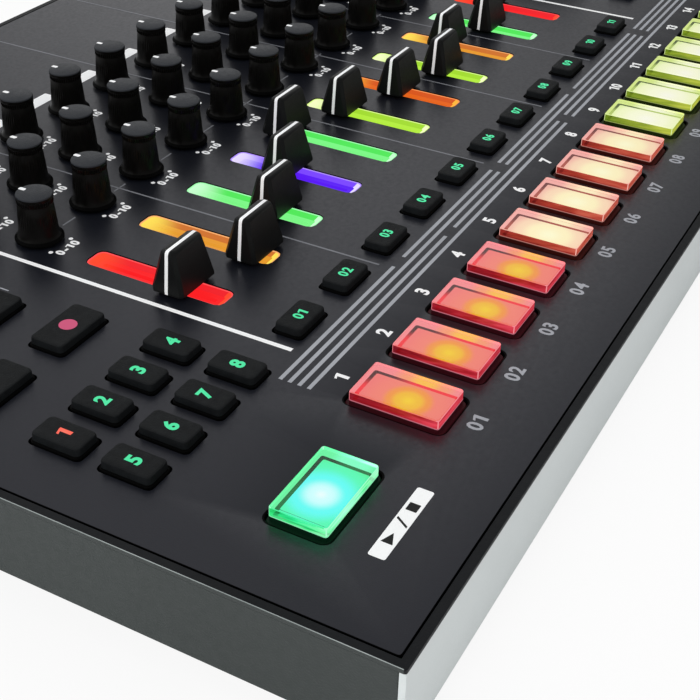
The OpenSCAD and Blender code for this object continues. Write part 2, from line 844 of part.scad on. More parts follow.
module audio_jack(x) {
    inside = deck_back - rear_wall_t;
    difference() {
        union() {
            rear_block(x, jack_body_w, jack_body_w, inside - jack_body_l, inside);
            rear_rod(x, jack_neck_r, inside - eps, socket_face + neck_out);
        }
        rear_rod(x, jack_bore_r, inside - jack_depth, deck_back + 1);
    }
}

module data_socket(x) {
    inside = deck_back - rear_wall_t;
    difference() {
        union() {
            rear_block(x, data_body_w, data_body_h, inside - data_depth - 2, inside);
            rear_rod(x, data_r + 1, inside - eps, socket_face + 0.5);
        }
        rear_rod(x, data_r, socket_face + 0.5 - data_depth, deck_back + 1);
    }
}

module square_socket() {
    inside = deck_back - rear_wall_t;
    difference() {
        union() {
            rear_block(usb_x, usb_w + 4, usb_h + 4, inside - usb_depth - 2, inside);
            rear_block(usb_x, usb_w + 2, usb_h + 2, inside - eps, socket_face + 0.5);
        }
        rear_block(usb_x, usb_w, usb_h, socket_face + 0.5 - usb_depth, deck_back + 1);
    }
}

module power_inlet() {
    inside = deck_back - rear_wall_t;
    difference() {
        union() {
            rear_block(inlet_x, 12, 11, inside - inlet_depth - 2, inside);
            rear_rod(inlet_x, inlet_r + 1.4, inside - eps, socket_face + 0.5);
        }
        rear_rod(inlet_x, inlet_r, socket_face + 0.5 - inlet_depth, deck_back + 1);
    }
}

// Housing of the power switch, with a round room for the rocker and bores for its pins
module switch_housing() {
    inside = deck_back - rear_wall_t;
    h = rocker_w + 4;
    difference() {
        union() {
            rear_block(switch_x, rocker_l + 7, h + 3, inside - rocker_l - 1, inside);
            rear_block(switch_x, rocker_l + 3, h, inside - eps, socket_face + 0.4);
        }
        rocker_room();
    }
}

module rocker_room() {
    room_h = rocker_w + 2 * gap;
    translate([switch_x, rocker_y, -socket_z - room_h / 2])
        cylinder(r = rocker_r + gap, h = room_h, $fn = 64);
    rear_block(switch_x, rocker_l + 2 * gap, room_h, rocker_y, deck_back + 1);
    translate([switch_x, rocker_y, -socket_z - room_h / 2 - rocker_pin_l])
        cylinder(r = rocker_pin_r + shaft_gap, h = room_h + 2 * rocker_pin_l, $fn = 32);
}

module rear_sockets() {
    color("#18191a")
        on_deck() {
            for (i = [0:jack_count - 1])
                audio_jack(jack_x(i));
            for (x = data_x)
                data_socket(x);
            square_socket();
            power_inlet();
            switch_housing();
        }
}

// The rocker is a drum on two pins with a dished face, leaning to its off side
module power_switch() {
    pin_end = rocker_w / 2 + gap + rocker_pin_l - 0.1;
    color("#1b1c1d")
        on_deck()
            translate([switch_x, rocker_y, -socket_z])
                rotate([0, 0, -rocker_angle]) {
                    intersection() {
                        translate([0, 0, -rocker_w / 2])
                            cylinder(r = rocker_r, h = rocker_w, $fn = 64);
                        translate([0, 0, -rocker_w / 2])
                            linear_extrude(height = rocker_w)
                                polygon([[-rocker_r, -rocker_r], [rocker_r, -rocker_r],
                                         [rocker_r, rocker_face],
                                         [0, rocker_face - rocker_dip],
                                         [-rocker_r, rocker_face]]);
                    }
                    translate([0, 0, -pin_end])
                        cylinder(r = rocker_pin_r, h = 2 * pin_end, $fn = 32);
                }
}

// ---- the part ----

bottom_case();
top_frame();
front_trim();
panel_plate();
rubber_feet();
case_screws();
rear_sockets();
main_board();
control_board();
pad_guide();
slide_pots();
rotary_pots();
led_bars();
display_module();
upper_knobs();
select_keys();
variation_keys();
mode_keys();
effect_dial();
tempo_knob();
power_switch();
start_pad();
for (i = [0:pad_count - 1])
    step_pad(i);
for (i = [0:channel_count - 1])
    fader(i);
for (i = [0:channel_count - 1])
    ctrl_knob(i);
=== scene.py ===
"""Looks of the drum machine: a sloping case with lit step pads, rubber keys, faders and knobs.

Pieces are drawn in the deck's own frame, in millimetres: X from the left edge, Y up the slope
from the panel's front edge and Z up from the panel's top. One matrix takes them to the row's
frame, in metres.
"""

import json
import math

import bmesh
import bpy
from mathutils import Matrix, Vector
from mathutils.bvhtree import BVHTree


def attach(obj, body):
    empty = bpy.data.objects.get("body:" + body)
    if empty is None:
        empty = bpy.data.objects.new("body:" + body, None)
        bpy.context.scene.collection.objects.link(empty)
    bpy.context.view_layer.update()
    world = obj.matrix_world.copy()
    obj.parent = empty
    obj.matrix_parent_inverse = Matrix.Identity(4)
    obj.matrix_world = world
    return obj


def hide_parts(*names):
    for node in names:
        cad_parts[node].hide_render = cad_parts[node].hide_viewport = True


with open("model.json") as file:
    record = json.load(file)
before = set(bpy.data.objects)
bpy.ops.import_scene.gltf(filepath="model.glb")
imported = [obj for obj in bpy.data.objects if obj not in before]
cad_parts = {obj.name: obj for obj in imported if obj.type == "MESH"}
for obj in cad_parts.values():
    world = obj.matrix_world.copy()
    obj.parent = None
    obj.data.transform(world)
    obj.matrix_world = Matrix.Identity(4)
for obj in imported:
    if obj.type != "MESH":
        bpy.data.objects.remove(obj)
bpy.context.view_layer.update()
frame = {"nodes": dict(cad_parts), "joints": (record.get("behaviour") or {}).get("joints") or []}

MM = 0.001

# ---- sizes, in millimetres ----

# Case
RIM_W = 2.1
BAND_H = 22.0
WALL_T = 2.6
REAR_WALL_T = 4.6
LEDGE_W = 3.0
LEDGE_T = 2.0
TRIM_T = 1.4
TRIM_DROP = 1.2
CASE_CORNER = 0.6
BASE_INSET = 13.0
PANEL_T = 1.5
PANEL_GAP = 0.3
PANEL_BREAK = 0.12
SCREW_R = 1.5
SCREW_HEAD_R = 2.8
FOOT_R = 8.0
FOOT_H = 3.0

# Pads
PAD_W = 13.2
PAD_L = 21.9
PAD_BEVEL = 0.3
PAD_HOLE_W = 15.0
PAD_HOLE_L = 24.6
PAD_BASE_Z = -0.6
SKIRT_GAP = 0.3
PAD_FOOT_Z = 0.5
PAD_OUTLINE = 0.45
PAD_HOLE_CORNER = 2.0
STEM_R = 3.0

# Channels
SLOT_W = 7.4
SLOT_L = 41.6
SLIT_W = 1.8
SLIT_L = 36.6
CAP_FOOT_W = 15.0
CAP_FOOT_L = 9.4
CAP_TOP_W = 12.6
CAP_TOP_L = 4.1
CAP_LINE_W = 0.95
CAP_FOOT_Z = 1.0
CAP_CORNER = 0.9

# Knobs
KNOB_ROW_PITCH = 22.1
KNOB_RIBS = 44
RIB_DEPTH = 0.14
TOOTH_DEPTH = 0.3
SHAFT_R = 3.0
SHAFT_TOP_Z = 0.52
SHAFT_HOLE_R = 4.2

# Keys
KEY_L = 13.2
KEY_W = 7.9
MODE_KEY_L = 17.6
MODE_KEY_W = 10.0
KEY_GAP = 0.3
KEY_WEB_MARGIN = 2.4
KEY_WEB_T = 1.0
KEY_CORNER = 1.3

# Display
WINDOW_W = 44.0
WINDOW_L = 17.0
WINDOW_GAP = 0.3

# Back wall
SOCKET_Z = -11.5
SOCKET_RECESS = 2.0
RECESS_MARGIN = 3.0
RECESS_REACH = 16.0
JACK_NECK_R = 4.5
JACK_BORE_R = 3.2
NUT_FLAT = 4.55
DATA_R = 6.8
DATA_PIN_R = 4.1
USB_W = 8.4
USB_H = 7.6
INLET_R = 2.8
ROCKER_L = 11.0
ROCKER_W = 8.0

# Printed ink
INK_T = 0.03
INK_LIFT = 0.004


# ---- the deck's frame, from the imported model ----

def deck_frame():
    """Matrix from the deck's millimetres to the row's metres."""
    press = next(j for j in frame["joints"] if j["name"] == "start_pad_press")
    up = Vector(press["axis"]).normalized()
    across = Vector((1, 0, 0))
    along = up.cross(across)
    corners = [v.co for v in frame["nodes"]["top_frame"].data.vertices]
    origin = (across * min(c.x for c in corners)
              + along * (min(c.dot(along) for c in corners) + RIM_W * MM)
              + up * max(c.dot(up) for c in corners))
    turn = Matrix((across, along, up)).transposed().to_4x4()
    return Matrix.Translation(origin) @ turn @ Matrix.Scale(MM, 4)


DECK = deck_frame()
TO_DECK = DECK.inverted()


def deck_box(node):
    """Lowest and highest corner of a CAD node in the deck's millimetres."""
    places = [TO_DECK @ v.co for v in frame["nodes"][node].data.vertices]
    return (Vector([min(p[i] for p in places) for i in range(3)]),
            Vector([max(p[i] for p in places) for i in range(3)]))


def middle(node):
    low, high = deck_box(node)
    return (low + high) / 2


STEP_PADS = sorted(n for n in frame["nodes"] if n.startswith("step_pad_"))
FADERS = sorted(n for n in frame["nodes"] if n.startswith("fader_"))
CTRL_KNOBS = sorted(n for n in frame["nodes"] if n.startswith("ctrl_knob_"))
BODY_W = deck_box("top_frame")[1].x
DECK_BACK = deck_box("top_frame")[1].y
PAD_Y = middle("start_pad").y
START_PAD = (middle("start_pad").x, PAD_Y)
CHANNEL_X = [middle(n).x for n in FADERS]
PAD_X = [middle(n).x for n in STEP_PADS]
SLOT_Y = middle("led_bars").y
CTRL_Y = middle(CTRL_KNOBS[0]).y
SELECT_Y = middle("select_keys").y
DIAL = middle("effect_dial")
TEMPO = middle("tempo_knob")
DISPLAY = middle("display_module")
KNOB_TOP_Z = deck_box(CTRL_KNOBS[0])[1].z
KNOB_ROWS = [CTRL_Y + KNOB_ROW_PITCH * i for i in range(4)]
SIDE_KNOB_X = [15.5, 37.0, 58.5]
VOLUME_Y = 224.0
KEY_TOP_Z = deck_box("select_keys")[1].z
PAD_TOP_Z = deck_box("start_pad")[1].z
JACK_X = [120.0 + 20.0 * i for i in range(7)]
DATA_X = [266.0, 292.0]
USB_X = 316.0
INLET_X = 80.0
SWITCH_X = 50.0
INNER_BACK = DECK_BACK - REAR_WALL_T
SOCKET_FACE = DECK_BACK - SOCKET_RECESS
RIGHT_KEY_Y = 76.0
RIGHT_KEY_PITCH = 26.0
DISC_KEYS = (0, 2, 5)
MODE_KEYS_LEFT = [(52.9, 113.0), (26.6, 113.0), (48.4, 134.4), (22.1, 134.4)]


# ---- forms ----

# Degrees between two faces past which the edge between them is sharp
SHARP = 35


class Form:
    """Points and faces of one piece, each face with the number of its material."""

    def __init__(self):
        self.points = []
        self.faces = []
        self.finishes = []

    def ring(self, points):
        start = len(self.points)
        self.points += [tuple(p) for p in points]
        return list(range(start, len(self.points)))

    def face(self, ids, finish=0):
        self.faces.append(tuple(ids))
        self.finishes.append(finish)

    def bridge(self, low, high, finish=0):
        for i, corner in enumerate(low):
            after = (i + 1) % len(low)
            self.face((corner, low[after], high[after], high[i]), finish)

    def loft(self, rings, finish=0):
        """Skin over rings of equal length, from the lowest to the highest, with its ends."""
        ids = [self.ring(r) for r in rings]
        for low, high in zip(ids, ids[1:]):
            self.bridge(low, high, finish)
        self.face(ids[0][::-1], finish)
        self.face(ids[-1], finish)

    def slab(self, outline, z0, z1, finish=0):
        """Plate between two heights over an outline of (x, y) points."""
        self.loft([raised(outline, z0), raised(outline, z1)], finish)

    def stamp(self, other, move=(0, 0, 0), turn=None, finish=None):
        """Copy of another form, turned and then moved."""
        start = len(self.points)
        matrix = Matrix.Translation(move) @ (turn or Matrix())
        self.points += [tuple(matrix @ Vector(p)) for p in other.points]
        for face, its in zip(other.faces, other.finishes):
            self.face([start + i for i in face], its if finish is None else finish)


def rounded(w, l, r, steps=4, at=(0, 0)):
    """Outline of a rectangle with rounded corners, counter-clockwise."""
    r = max(r, 0.01)
    points = []
    for sx, sy, start in ((1, 1, 0), (-1, 1, 90), (-1, -1, 180), (1, -1, 270)):
        for step in range(steps + 1):
            angle = math.radians(start + 90 * step / steps)
            points.append((at[0] + sx * (w / 2 - r) + r * math.cos(angle),
                           at[1] + sy * (l / 2 - r) + r * math.sin(angle)))
    return points


def circle(r, count=32, at=(0, 0)):
    return [(at[0] + r * math.cos(2 * math.pi * i / count),
             at[1] + r * math.sin(2 * math.pi * i / count)) for i in range(count)]


def raised(outline, z):
    """Ring at a height, from an outline seen from above."""
    return [(x, y, z) for x, y in outline]


def upright(outline, y):
    """Ring at a depth, from an outline seen from the front."""
    return [(x, y, z) for x, z in outline]


def stack(shapes, steps, at):
    """Rings over one place: rounded rectangles of (width, length, radius, height)."""
    return [raised(rounded(w, l, r, steps, at), z) for w, l, r, z in shapes]


def turned(profile, count, at=(0, 0), finish_of=None, ripple=None, hollow=False):
    """Form of revolution: profile is (radius, height) from the foot up, closed at both ends.

    ripple(radius, height, corner) changes the radius round the piece, and finish_of(height) gives
    the material of the band that ends at that height. In a hollow form the last circle is joined
    to the first.
    """
    form = Form()
    rings = []
    for r, z in profile:
        points = []
        for i in range(count):
            angle = 2 * math.pi * i / count
            reach = ripple(r, z, i) if ripple else r
            points.append((at[0] + reach * math.cos(angle), at[1] + reach * math.sin(angle), z))
        rings.append(form.ring(points))
    for low, high, (_, z) in zip(rings, rings[1:], profile[1:]):
        form.bridge(low, high, finish_of(z) if finish_of else 0)
    if hollow:
        form.bridge(rings[-1], rings[0])
        return form
    form.face(rings[0][::-1])
    form.face(rings[-1], finish_of(profile[-1][1] + 1) if finish_of else 0)
    return form


def mesh_of(name, form, materials, place, sharp):
    mesh = bpy.data.meshes.new(name)
    mesh.from_pydata([place @ Vector(p) for p in form.points], [], form.faces)
    for material in materials:
        mesh.materials.append(material)
    mesh.polygons.foreach_set("material_index", form.finishes)
    work = bmesh.new()
    work.from_mesh(mesh)
    bmesh.ops.recalc_face_normals(work, faces=work.faces)
    work.to_mesh(mesh)
    work.free()
    smooth(mesh, sharp)
    return mesh


def smooth(mesh, sharp):
    """Smooth shading, broken where faces meet at more than that many degrees."""
    mesh.shade_smooth()
    mesh.set_sharp_from_angle(angle=math.radians(sharp))


def placed(name, data):
    """Object of that name in the scene."""
    made = bpy.data.objects.new(name, data)
    bpy.context.scene.collection.objects.link(made)
    return made


def settled(made):
    """Mesh of an object with its modifiers, or its curves, worked out."""
    bpy.context.view_layer.update()
    graph = bpy.context.evaluated_depsgraph_get()
    return bpy.data.meshes.new_from_object(made.evaluated_get(graph))


def piece(name, form, body, materials, replaced=(), sharp=SHARP, place=DECK):
    """Makes a form a piece of the object that rides on a body and stands for CAD nodes."""
    made = placed(name, mesh_of(name, form, materials, place, sharp))
    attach(made, body)
    if replaced:
        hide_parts(*replaced)
    return made


def cut(made, *cutters):
    """Takes cutter forms out of a piece, for good."""
    for form in cutters:
        tool = placed("cutter", mesh_of("cutter", form, [], DECK, SHARP))
        modifier = made.modifiers.new("cut", "BOOLEAN")
        modifier.operation = "DIFFERENCE"
        modifier.solver = "EXACT"
        modifier.object = tool
        result = settled(made)
        made.modifiers.clear()
        made.data = result
        bpy.data.objects.remove(tool)
    smooth(made.data, SHARP)


# Height of the font's figures, as a share of its size
FIGURE_H = 0.69
_figures = {}


def figure(sign, bold):
    """Points, faces and width of one printed sign, with figures one unit high."""
    if (sign, bold) not in _figures:
        curve = bpy.data.curves.new("ink", "FONT")
        curve.body = sign
        curve.resolution_u = 3
        curve.offset = bold
        made = placed("ink", curve)
        mesh = settled(made)
        points = [v.co.copy() for v in mesh.vertices]
        faces = [tuple(p.vertices) for p in mesh.polygons]
        if sign == "1":
            # a one of its own: a stem with a short flag
            stem = 0.13 + 2 * bold
            points = [Vector(p) for p in (
                (0.2, 0), (0.2 + stem, 0), (0.2 + stem, FIGURE_H), (0.09 + stem, FIGURE_H),
                (0, 0.6), (0, 0.48), (0.2, 0.55))]
            faces = [tuple(range(7))]
        left = min(p.x for p in points)
        width = (max(p.x for p in points) - left) / FIGURE_H
        _figures[sign, bold] = ([((p.x - left) / FIGURE_H, p.y / FIGURE_H) for p in points],
                                faces, width)
        bpy.data.objects.remove(made)
        bpy.data.curves.remove(curve)
        bpy.data.meshes.remove(mesh)
    return _figures[sign, bold]


def printed(words, height, bold=0.0, width=None):
    """Words as a thin plate of ink centred on the origin, set as wide as asked for."""
    signs = [figure(sign, bold) for sign in words]
    space = 0.14 * height
    if width and len(signs) > 1:
        space = (width - height * sum(w for _, _, w in signs)) / (len(signs) - 1)
    total = height * sum(w for _, _, w in signs) + space * (len(signs) - 1)
    form = Form()
    x = -total / 2
    for points, faces, w in signs:
        at = [(x + u * height, (v - 0.5) * height) for u, v in points]
        top = form.ring(raised(at, INK_T))
        low = form.ring(raised(at, 0))
        edges = set()
        for face in faces:
            form.face([top[i] for i in face])
            form.face([low[i] for i in reversed(face)])
            edges.update(zip(face, face[1:] + face[:1]))
        for a, b in edges:
            if (b, a) not in edges:
                form.face((top[a], low[a], low[b], top[b]))
        x += w * height + space
    return form


# ---- materials ----

def colour(hex_code):
    """Linear colour of an sRGB hex code."""
    parts = [int(hex_code[i:i + 2], 16) / 255 for i in (1, 3, 5)]
    return [p / 12.92 if p <= 0.04045 else ((p + 0.055) / 1.055) ** 2.4 for p in parts] + [1]


def add(tree, kind, options=None, values=None, links=None):
    """Adds a shader node with its options, input values and the sockets that feed it."""
    node = tree.nodes.new("ShaderNode" + kind)
    for name, value in (options or {}).items():
        setattr(node, name, value)
    for name, value in (values or {}).items():
        node.inputs[name].default_value = value
    for name, source in (links or {}).items():
        tree.links.new(source, node.inputs[name])
    return node


def surface(name, values):
    """A material with one Principled shader; returns the material, its tree and the shader."""
    material = bpy.data.materials.new(name)
    material.use_nodes = True
    tree = material.node_tree
    shader = tree.nodes["Principled BSDF"]
    for socket, value in values.items():
        shader.inputs[socket].default_value = value
    return material, tree, shader


def speckle(tree, grain, low, high, stretch=(1, 1, 1)):
    """Noise with grains of that many millimetres, spread between two values."""
    place = add(tree, "TexCoord").outputs["Object"]
    size = add(tree, "Mapping", values={"Scale": stretch}, links={"Vector": place})
    noise = add(tree, "TexNoise", values={"Scale": 1 / (grain * MM), "Detail": 3.0},
                links={"Vector": size.outputs["Vector"]})
    spread = add(tree, "MapRange", values={"From Min": 0.3, "From Max": 0.7, "To Min": low,
                                           "To Max": high},
                 links={"Value": noise.outputs["Fac"]})
    return spread.outputs["Result"]


def graded(tree, value, stops, blend="LINEAR"):
    """Colour that follows a value through stops of (value, linear colour)."""
    ramp = add(tree, "ValToRGB", links={"Fac": value})
    ramp.color_ramp.interpolation = blend
    marks = ramp.color_ramp.elements
    while len(marks) < len(stops):
        marks.new(0.5)
    for mark, (position, tint) in zip(marks, stops):
        mark.position = position
        mark.color = tint
    return ramp.outputs["Color"]


def textured(name, dark, light, rough, grain, depth, values=None, patch=18.0):
    """A moulded or coated surface: fine grain in the relief, slow drift in colour and gloss."""
    material, tree, shader = surface(name, {"Roughness": rough, **(values or {})})
    drift = graded(tree, speckle(tree, patch, 0, 1), ((0.0, colour(dark)), (1.0, colour(light))))
    tree.links.new(drift, shader.inputs["Base Color"])
    gloss = speckle(tree, grain * 4, rough - 0.05, rough + 0.05)
    tree.links.new(gloss, shader.inputs["Roughness"])
    bump = add(tree, "Bump", values={"Distance": depth * MM, "Strength": 1.0},
               links={"Height": speckle(tree, grain, 0, 1)})
    tree.links.new(bump.outputs["Normal"], shader.inputs["Normal"])
    return material


def flat(tint, other=None):
    """Stops of a glow of one colour, or of one that goes evenly to another."""
    return [(0.0, tint), (1.0, other or tint)]


def lit(name, stops, centre=(0.5, 0.5), reach=(0.5, 0.5), base="#0c0c0c"):
    """A lit diffuser: glow colours from its hot middle outwards, by share of its reach."""
    material, tree, shader = surface(name, {"Base Color": colour(base), "Roughness": 0.5,
                                            "Specular IOR Level": 0.15,
                                            "Emission Strength": 1.0})
    away = add(tree, "VectorMath", {"operation": "SUBTRACT"}, {1: (*centre, 0.5)},
               {0: add(tree, "TexCoord").outputs["Generated"]})
    span = add(tree, "VectorMath", {"operation": "MULTIPLY"}, {1: (1 / reach[0], 1 / reach[1], 0)},
               {0: away.outputs[0]})
    length = add(tree, "VectorMath", {"operation": "LENGTH"}, links={0: span.outputs[0]})
    glow = graded(tree, length.outputs["Value"], [(at, colour(tint)) for at, tint in stops], "EASE")
    tree.links.new(glow, shader.inputs["Emission Color"])
    return material


# Injection-moulded ABS, spark-eroded: an even grain that softens every highlight
CASE_ABS = textured("moulded_abs", "#313736", "#383e3d", 0.5, 0.5, 0.05, patch=60)
# The same plastic on the rim, with the finer grain of a finer tool, painted nearly black beside the
# panel: painted shade that keeps its top darker than the walls
SHADED_RIM_ABS = textured("fine_moulded_abs_painted_shade", "#111316", "#16181b", 0.5, 0.35, 0.02,
                   {"Specular IOR Level": 0.2})
# The rim's outer edge, with a smoother gloss: a hairline painted pale grey as a painted highlight
# that catches the light
EDGE_HIGHLIGHT_ABS = textured("abs_edge_painted_highlight", "#8c9493", "#a4abaa", 0.25, 0.4, 0.002)
# The same plastic in the tool of the lower body, a little coarser and flatter
TRAY_ABS = textured("moulded_tray_abs", "#2b2f2f", "#323636", 0.6, 0.7, 0.05)
# Satin silver paint over plastic: pale, with flakes too fine to see one by one
STRIP_PAINT = textured("satin_silver_paint", "#d8dede", "#dee4e4", 0.5, 0.4, 0.03, patch=60)
# Bead-blasted aluminium, anodised black: a cool dark grey that mirrors the room softly
PANEL_ALUMINIUM = textured("anodised_aluminium", "#13151c", "#16181f", 0.34, 0.3, 0.006,
                           {"Specular IOR Level": 0.53,
                            "Specular Tint": (0.92, 0.92, 1.0, 1)}, patch=60)
# Cut edges of the same plate: bare of light, they draw a black line round each opening
PANEL_EDGE = textured("anodised_edge", "#010101", "#020202", 0.5, 0.3, 0.004,
                      {"Specular IOR Level": 0.05})
# Screen-printed ink: flat and barely raised
# The white ink also glows faintly: painted light that makes it brighter than the lamps do
WHITE_INK_PAINTED_GLOW = textured("white_screen_ink_painted_glow", "#f8fafc", "#fefefe", 0.6, 0.3, 0.004,
                     {"Emission Color": (1, 1, 1, 1), "Emission Strength": 0.06})
GREY_INK = textured("grey_screen_ink", "#a2a5ac", "#aeb1b8", 0.6, 0.3, 0.004)
FAINT_INK = textured("faint_screen_ink", "#74767c", "#7e8086", 0.6, 0.3, 0.004)
BLACK_INK = textured("black_screen_ink", "#101112", "#161718", 0.6, 0.3, 0.004)
# Silicone rubber keys: matt, with a soft broad sheen
KEY_RUBBER = textured("silicone_rubber", "#0f1113", "#15181a", 0.6, 0.35, 0.05,
                      {"Specular IOR Level": 0.22}, patch=2)
# Painted shade at the feet of keys, knobs and fader caps: the same silicone made flat black, a dark
# line round each
FOOT_SHADE_RUBBER = textured("silicone_rubber_foot_painted_shade", "#020202", "#030303", 0.7, 0.35, 0.02,
                      {"Specular IOR Level": 0.1})
# Knob bodies: soft-touch ABS, nearly black, with thin highlights on the ribs
KNOB_BODY = textured("soft_touch_abs", "#080706", "#0b0a09", 0.34, 0.3, 0.008,
                     {"Specular IOR Level": 0.2})
# Knob tops: satin metallic lacquer, mid grey
KNOB_TOP = textured("satin_grey_lacquer", "#26292e", "#2e3136", 0.5, 0.35, 0.04,
                    {"Specular IOR Level": 0.3})
# Fader caps: moulded ABS, slightly glossier than the knobs
CAP_ABS = textured("moulded_cap_abs", "#0f1010", "#131414", 0.4, 0.3, 0.012,
                   {"Specular IOR Level": 0.25})
# Moulded rubber feet: dull and dark grey
FOOT_RUBBER = textured("moulded_rubber", "#1a1a1b", "#222223", 0.75, 0.5, 0.02)
# Zinc-plated steel screws: grey metal with a slight yellow cast
ZINC_STEEL = textured("zinc_plated_steel", "#8b8d8c", "#a2a4a2", 0.35, 0.25, 0.004,
                      {"Metallic": 1.0})
# Nickel-plated brass of the jack nuts and contacts: bright and warm
NICKEL = textured("nickel_plated_brass", "#b0aca4", "#c2beb6", 0.25, 0.3, 0.002,
                  {"Metallic": 1.0})
# Black glass-filled nylon of the sockets: plain black with a low gloss
SOCKET_NYLON = textured("glass_filled_nylon", "#131415", "#191a1b", 0.45, 0.35, 0.01)
# Glass-epoxy board under green lacquer: a glossy deep green
BOARD_EPOXY = textured("green_lacquered_epoxy", "#12512c", "#17633a", 0.35, 0.8, 0.01)
# Acetal of the pad guide: milky white with a waxy gloss
GUIDE_ACETAL = textured("natural_acetal", "#c9cbc6", "#d6d8d3", 0.45, 0.5, 0.01)
# Tinned steel cases of the slide and rotary pots: dull grey metal
POT_STEEL = textured("tinned_steel", "#74787b", "#85898c", 0.4, 0.3, 0.004, {"Metallic": 1.0})
# Metallised polyester film of the blank rating plate: smooth, silvery grey
LABEL_FILM = textured("metallised_label_film", "#9a9c9e", "#a6a8aa", 0.4, 0.6, 0.002,
                      {"Metallic": 0.6})


def acrylic(name, tint, streak_glow_and_sheen=None):
    """Cast acrylic, polished and clear, or on a sawn edge tinted and streaked with glow: lamp light
    from the saw marks mixed with painted sheen, and painted light that grows toward the -Y end.
    """
    material, tree, shader = surface(name, {"IOR": 1.49, "Transmission Weight": 1.0,
                                            "Specular IOR Level": 0.2,
                                            "Base Color": colour(tint)})
    tree.links.new(speckle(tree, 2.5, 0.0, 0.05), shader.inputs["Roughness"])
    if streak_glow_and_sheen:
        along = add(tree, "SeparateXYZ", links={0: add(tree, "TexCoord").outputs["Generated"]})
        # painted light: the wall glows brighter toward its -Y end
        painted_brighter_ahead = add(tree, "MapRange", values={"To Min": 0.56, "To Max": 0.0},
                     links={"Value": along.outputs["Y"]})
        marks = add(tree, "Math", {"operation": "ADD"},
                    links={0: speckle(tree, 1.1, 0, 0.48, (0.16, 0.16, 1.3)),
                           1: painted_brighter_ahead.outputs["Result"]})
        stops = [(at, colour(tint)) for at, tint in zip((0.15, 0.5, 1.0), streak_glow_and_sheen)]
        tree.links.new(graded(tree, marks.outputs[0], stops), shader.inputs["Emission Color"])
        shader.inputs["Emission Strength"].default_value = 1.0
    return material


# Smoked acrylic over the display: dark, and clear enough for lit figures
SMOKED_ACRYLIC = acrylic("smoked_acrylic", "#7a3634")


def pad_finishes(name, spot, edge, joint, band, sides, line, foot, skirt, spots):
    """Finishes of a pad lit in one colour, in the order that pad_block uses."""
    centre, reach = spots
    return [acrylic(name + "_acrylic", "#ffffff"),
            acrylic(name + "_acrylic_edge", sides[0], sides[1:]),
            lit(name + "_lamp_diffuser", spot + [(1.0, edge)], centre, reach),
            lit(name + "_diffuser_joint", [(0.0, joint[0]), (0.3, joint[0]), (0.6, joint[1])],
                (1.0, 1.0), (1.1, 0.9), base="#000000"),
            # the rim's glow peaks at the +X side: painted reflection of the hot spot in that wall
            lit(name + "_diffuser_rim_and_painted_reflection", band, (1.0, 0.42), (0.9, 0.42)),
            # a painted glint on the top bevel and the corners, and a painted highlight along the
            # foot
            lit(name + "_edge_painted_glint", flat(line)),
            lit(name + "_foot_painted_highlight", flat(foot)),
            lit(name + "_skirt", flat(skirt), base=skirt)]


# Middle and reach of the hot spot in a pad's diffuser, as shares of its width and length
STEP_SPOT = ((0.36, 0.44), (0.85, 0.52))
START_SPOT = ((0.43, 0.5), (0.55, 0.92))
# Pads: clear acrylic over a lamp's diffuser, bright through the top, with darker sawn walls and
# painted glints, highlights and reflections on their edges
PAD_LOOKS = {
    "red": pad_finishes(
        "red", [(0.0, "#f2c800"), (0.22, "#eeb60c"), (0.38, "#ee9030"), (0.55, "#ee7a68")],
        "#ec706c", ("#4a0608", "#f01c2c"),
        [(0.15, "#f8b83c"), (0.5, "#f49468"), (0.9, "#f28488")],
        ("#3a020a", "#240406", "#7c141e", "#cc4454"), "#f48c94", "#b86876", "#22060a", STEP_SPOT),
    "rose": pad_finishes(
        "rose", [(0.0, "#fffbd0"), (0.4, "#fff2c0"), (0.7, "#fbd8b4")], "#f2b0a0",
        ("#6a1c14", "#a8402c"), [(0.15, "#ffeec0"), (0.5, "#fcd0b0"), (0.9, "#f4a8a0")],
        ("#400402", "#300c0a", "#782420", "#b05c4c"), "#f8b4a8", "#a87068", "#240806", STEP_SPOT),
    "lime": pad_finishes(
        "lime", [(0.0, "#ffffec"), (0.4, "#fdffdc"), (0.75, "#f6fcc8")], "#e4f6a4",
        ("#44580e", "#b0c85c"), [(0.15, "#fcffdc"), (0.5, "#f2fcc0"), (0.9, "#d8ec84")],
        ("#2c4004", "#202c06", "#686c18", "#a8a440"), "#e0f4a8", "#8c9850", "#121a05",
        STEP_SPOT),
    "green": pad_finishes(
        "green", [(0.0, "#e8ffff"), (0.16, "#ccffff"), (0.42, "#5cfcf4"), (0.72, "#50f8b4")],
        "#4cf08c", ("#083c20", "#0c7038"), [(0.4, "#7cffc4"), (1.0, "#64f4a0")],
        ("#107a40", "#085028", "#30b46c", "#b0e8c8"), "#a8ffd0", "#86e8b0", "#03140a",
        START_SPOT),
}

# Light guides: walls, floor, ends and lip of the trough, by lamp colour; the lip glows brighter
# than the walls, partly the guide's own light at its edge and partly a painted highlight
LAMPS = {"red": ("#f2242c", "#fb2024", "#ff4a2c", "#ff5054"),
         "amber": ("#d07430", "#e69a30", "#ffe058", "#fcb070"),
         "green": ("#54e85c", "#7cf686", "#c8ffd0", "#a4ffb4"),
         "violet": ("#7c48ff", "#5a1cf4", "#e8dcff", "#b090ff"),
         "lime": ("#a4dc34", "#b4ec40", "#f6ffc4", "#e0ff90"),
         "orange": ("#d85820", "#e4641c", "#ffb83c", "#ff9858")}
CHANNEL_LAMPS = ["red", "amber", "green", "violet", "green", "lime", "orange", "lime", "amber",
                 "green", "red"]
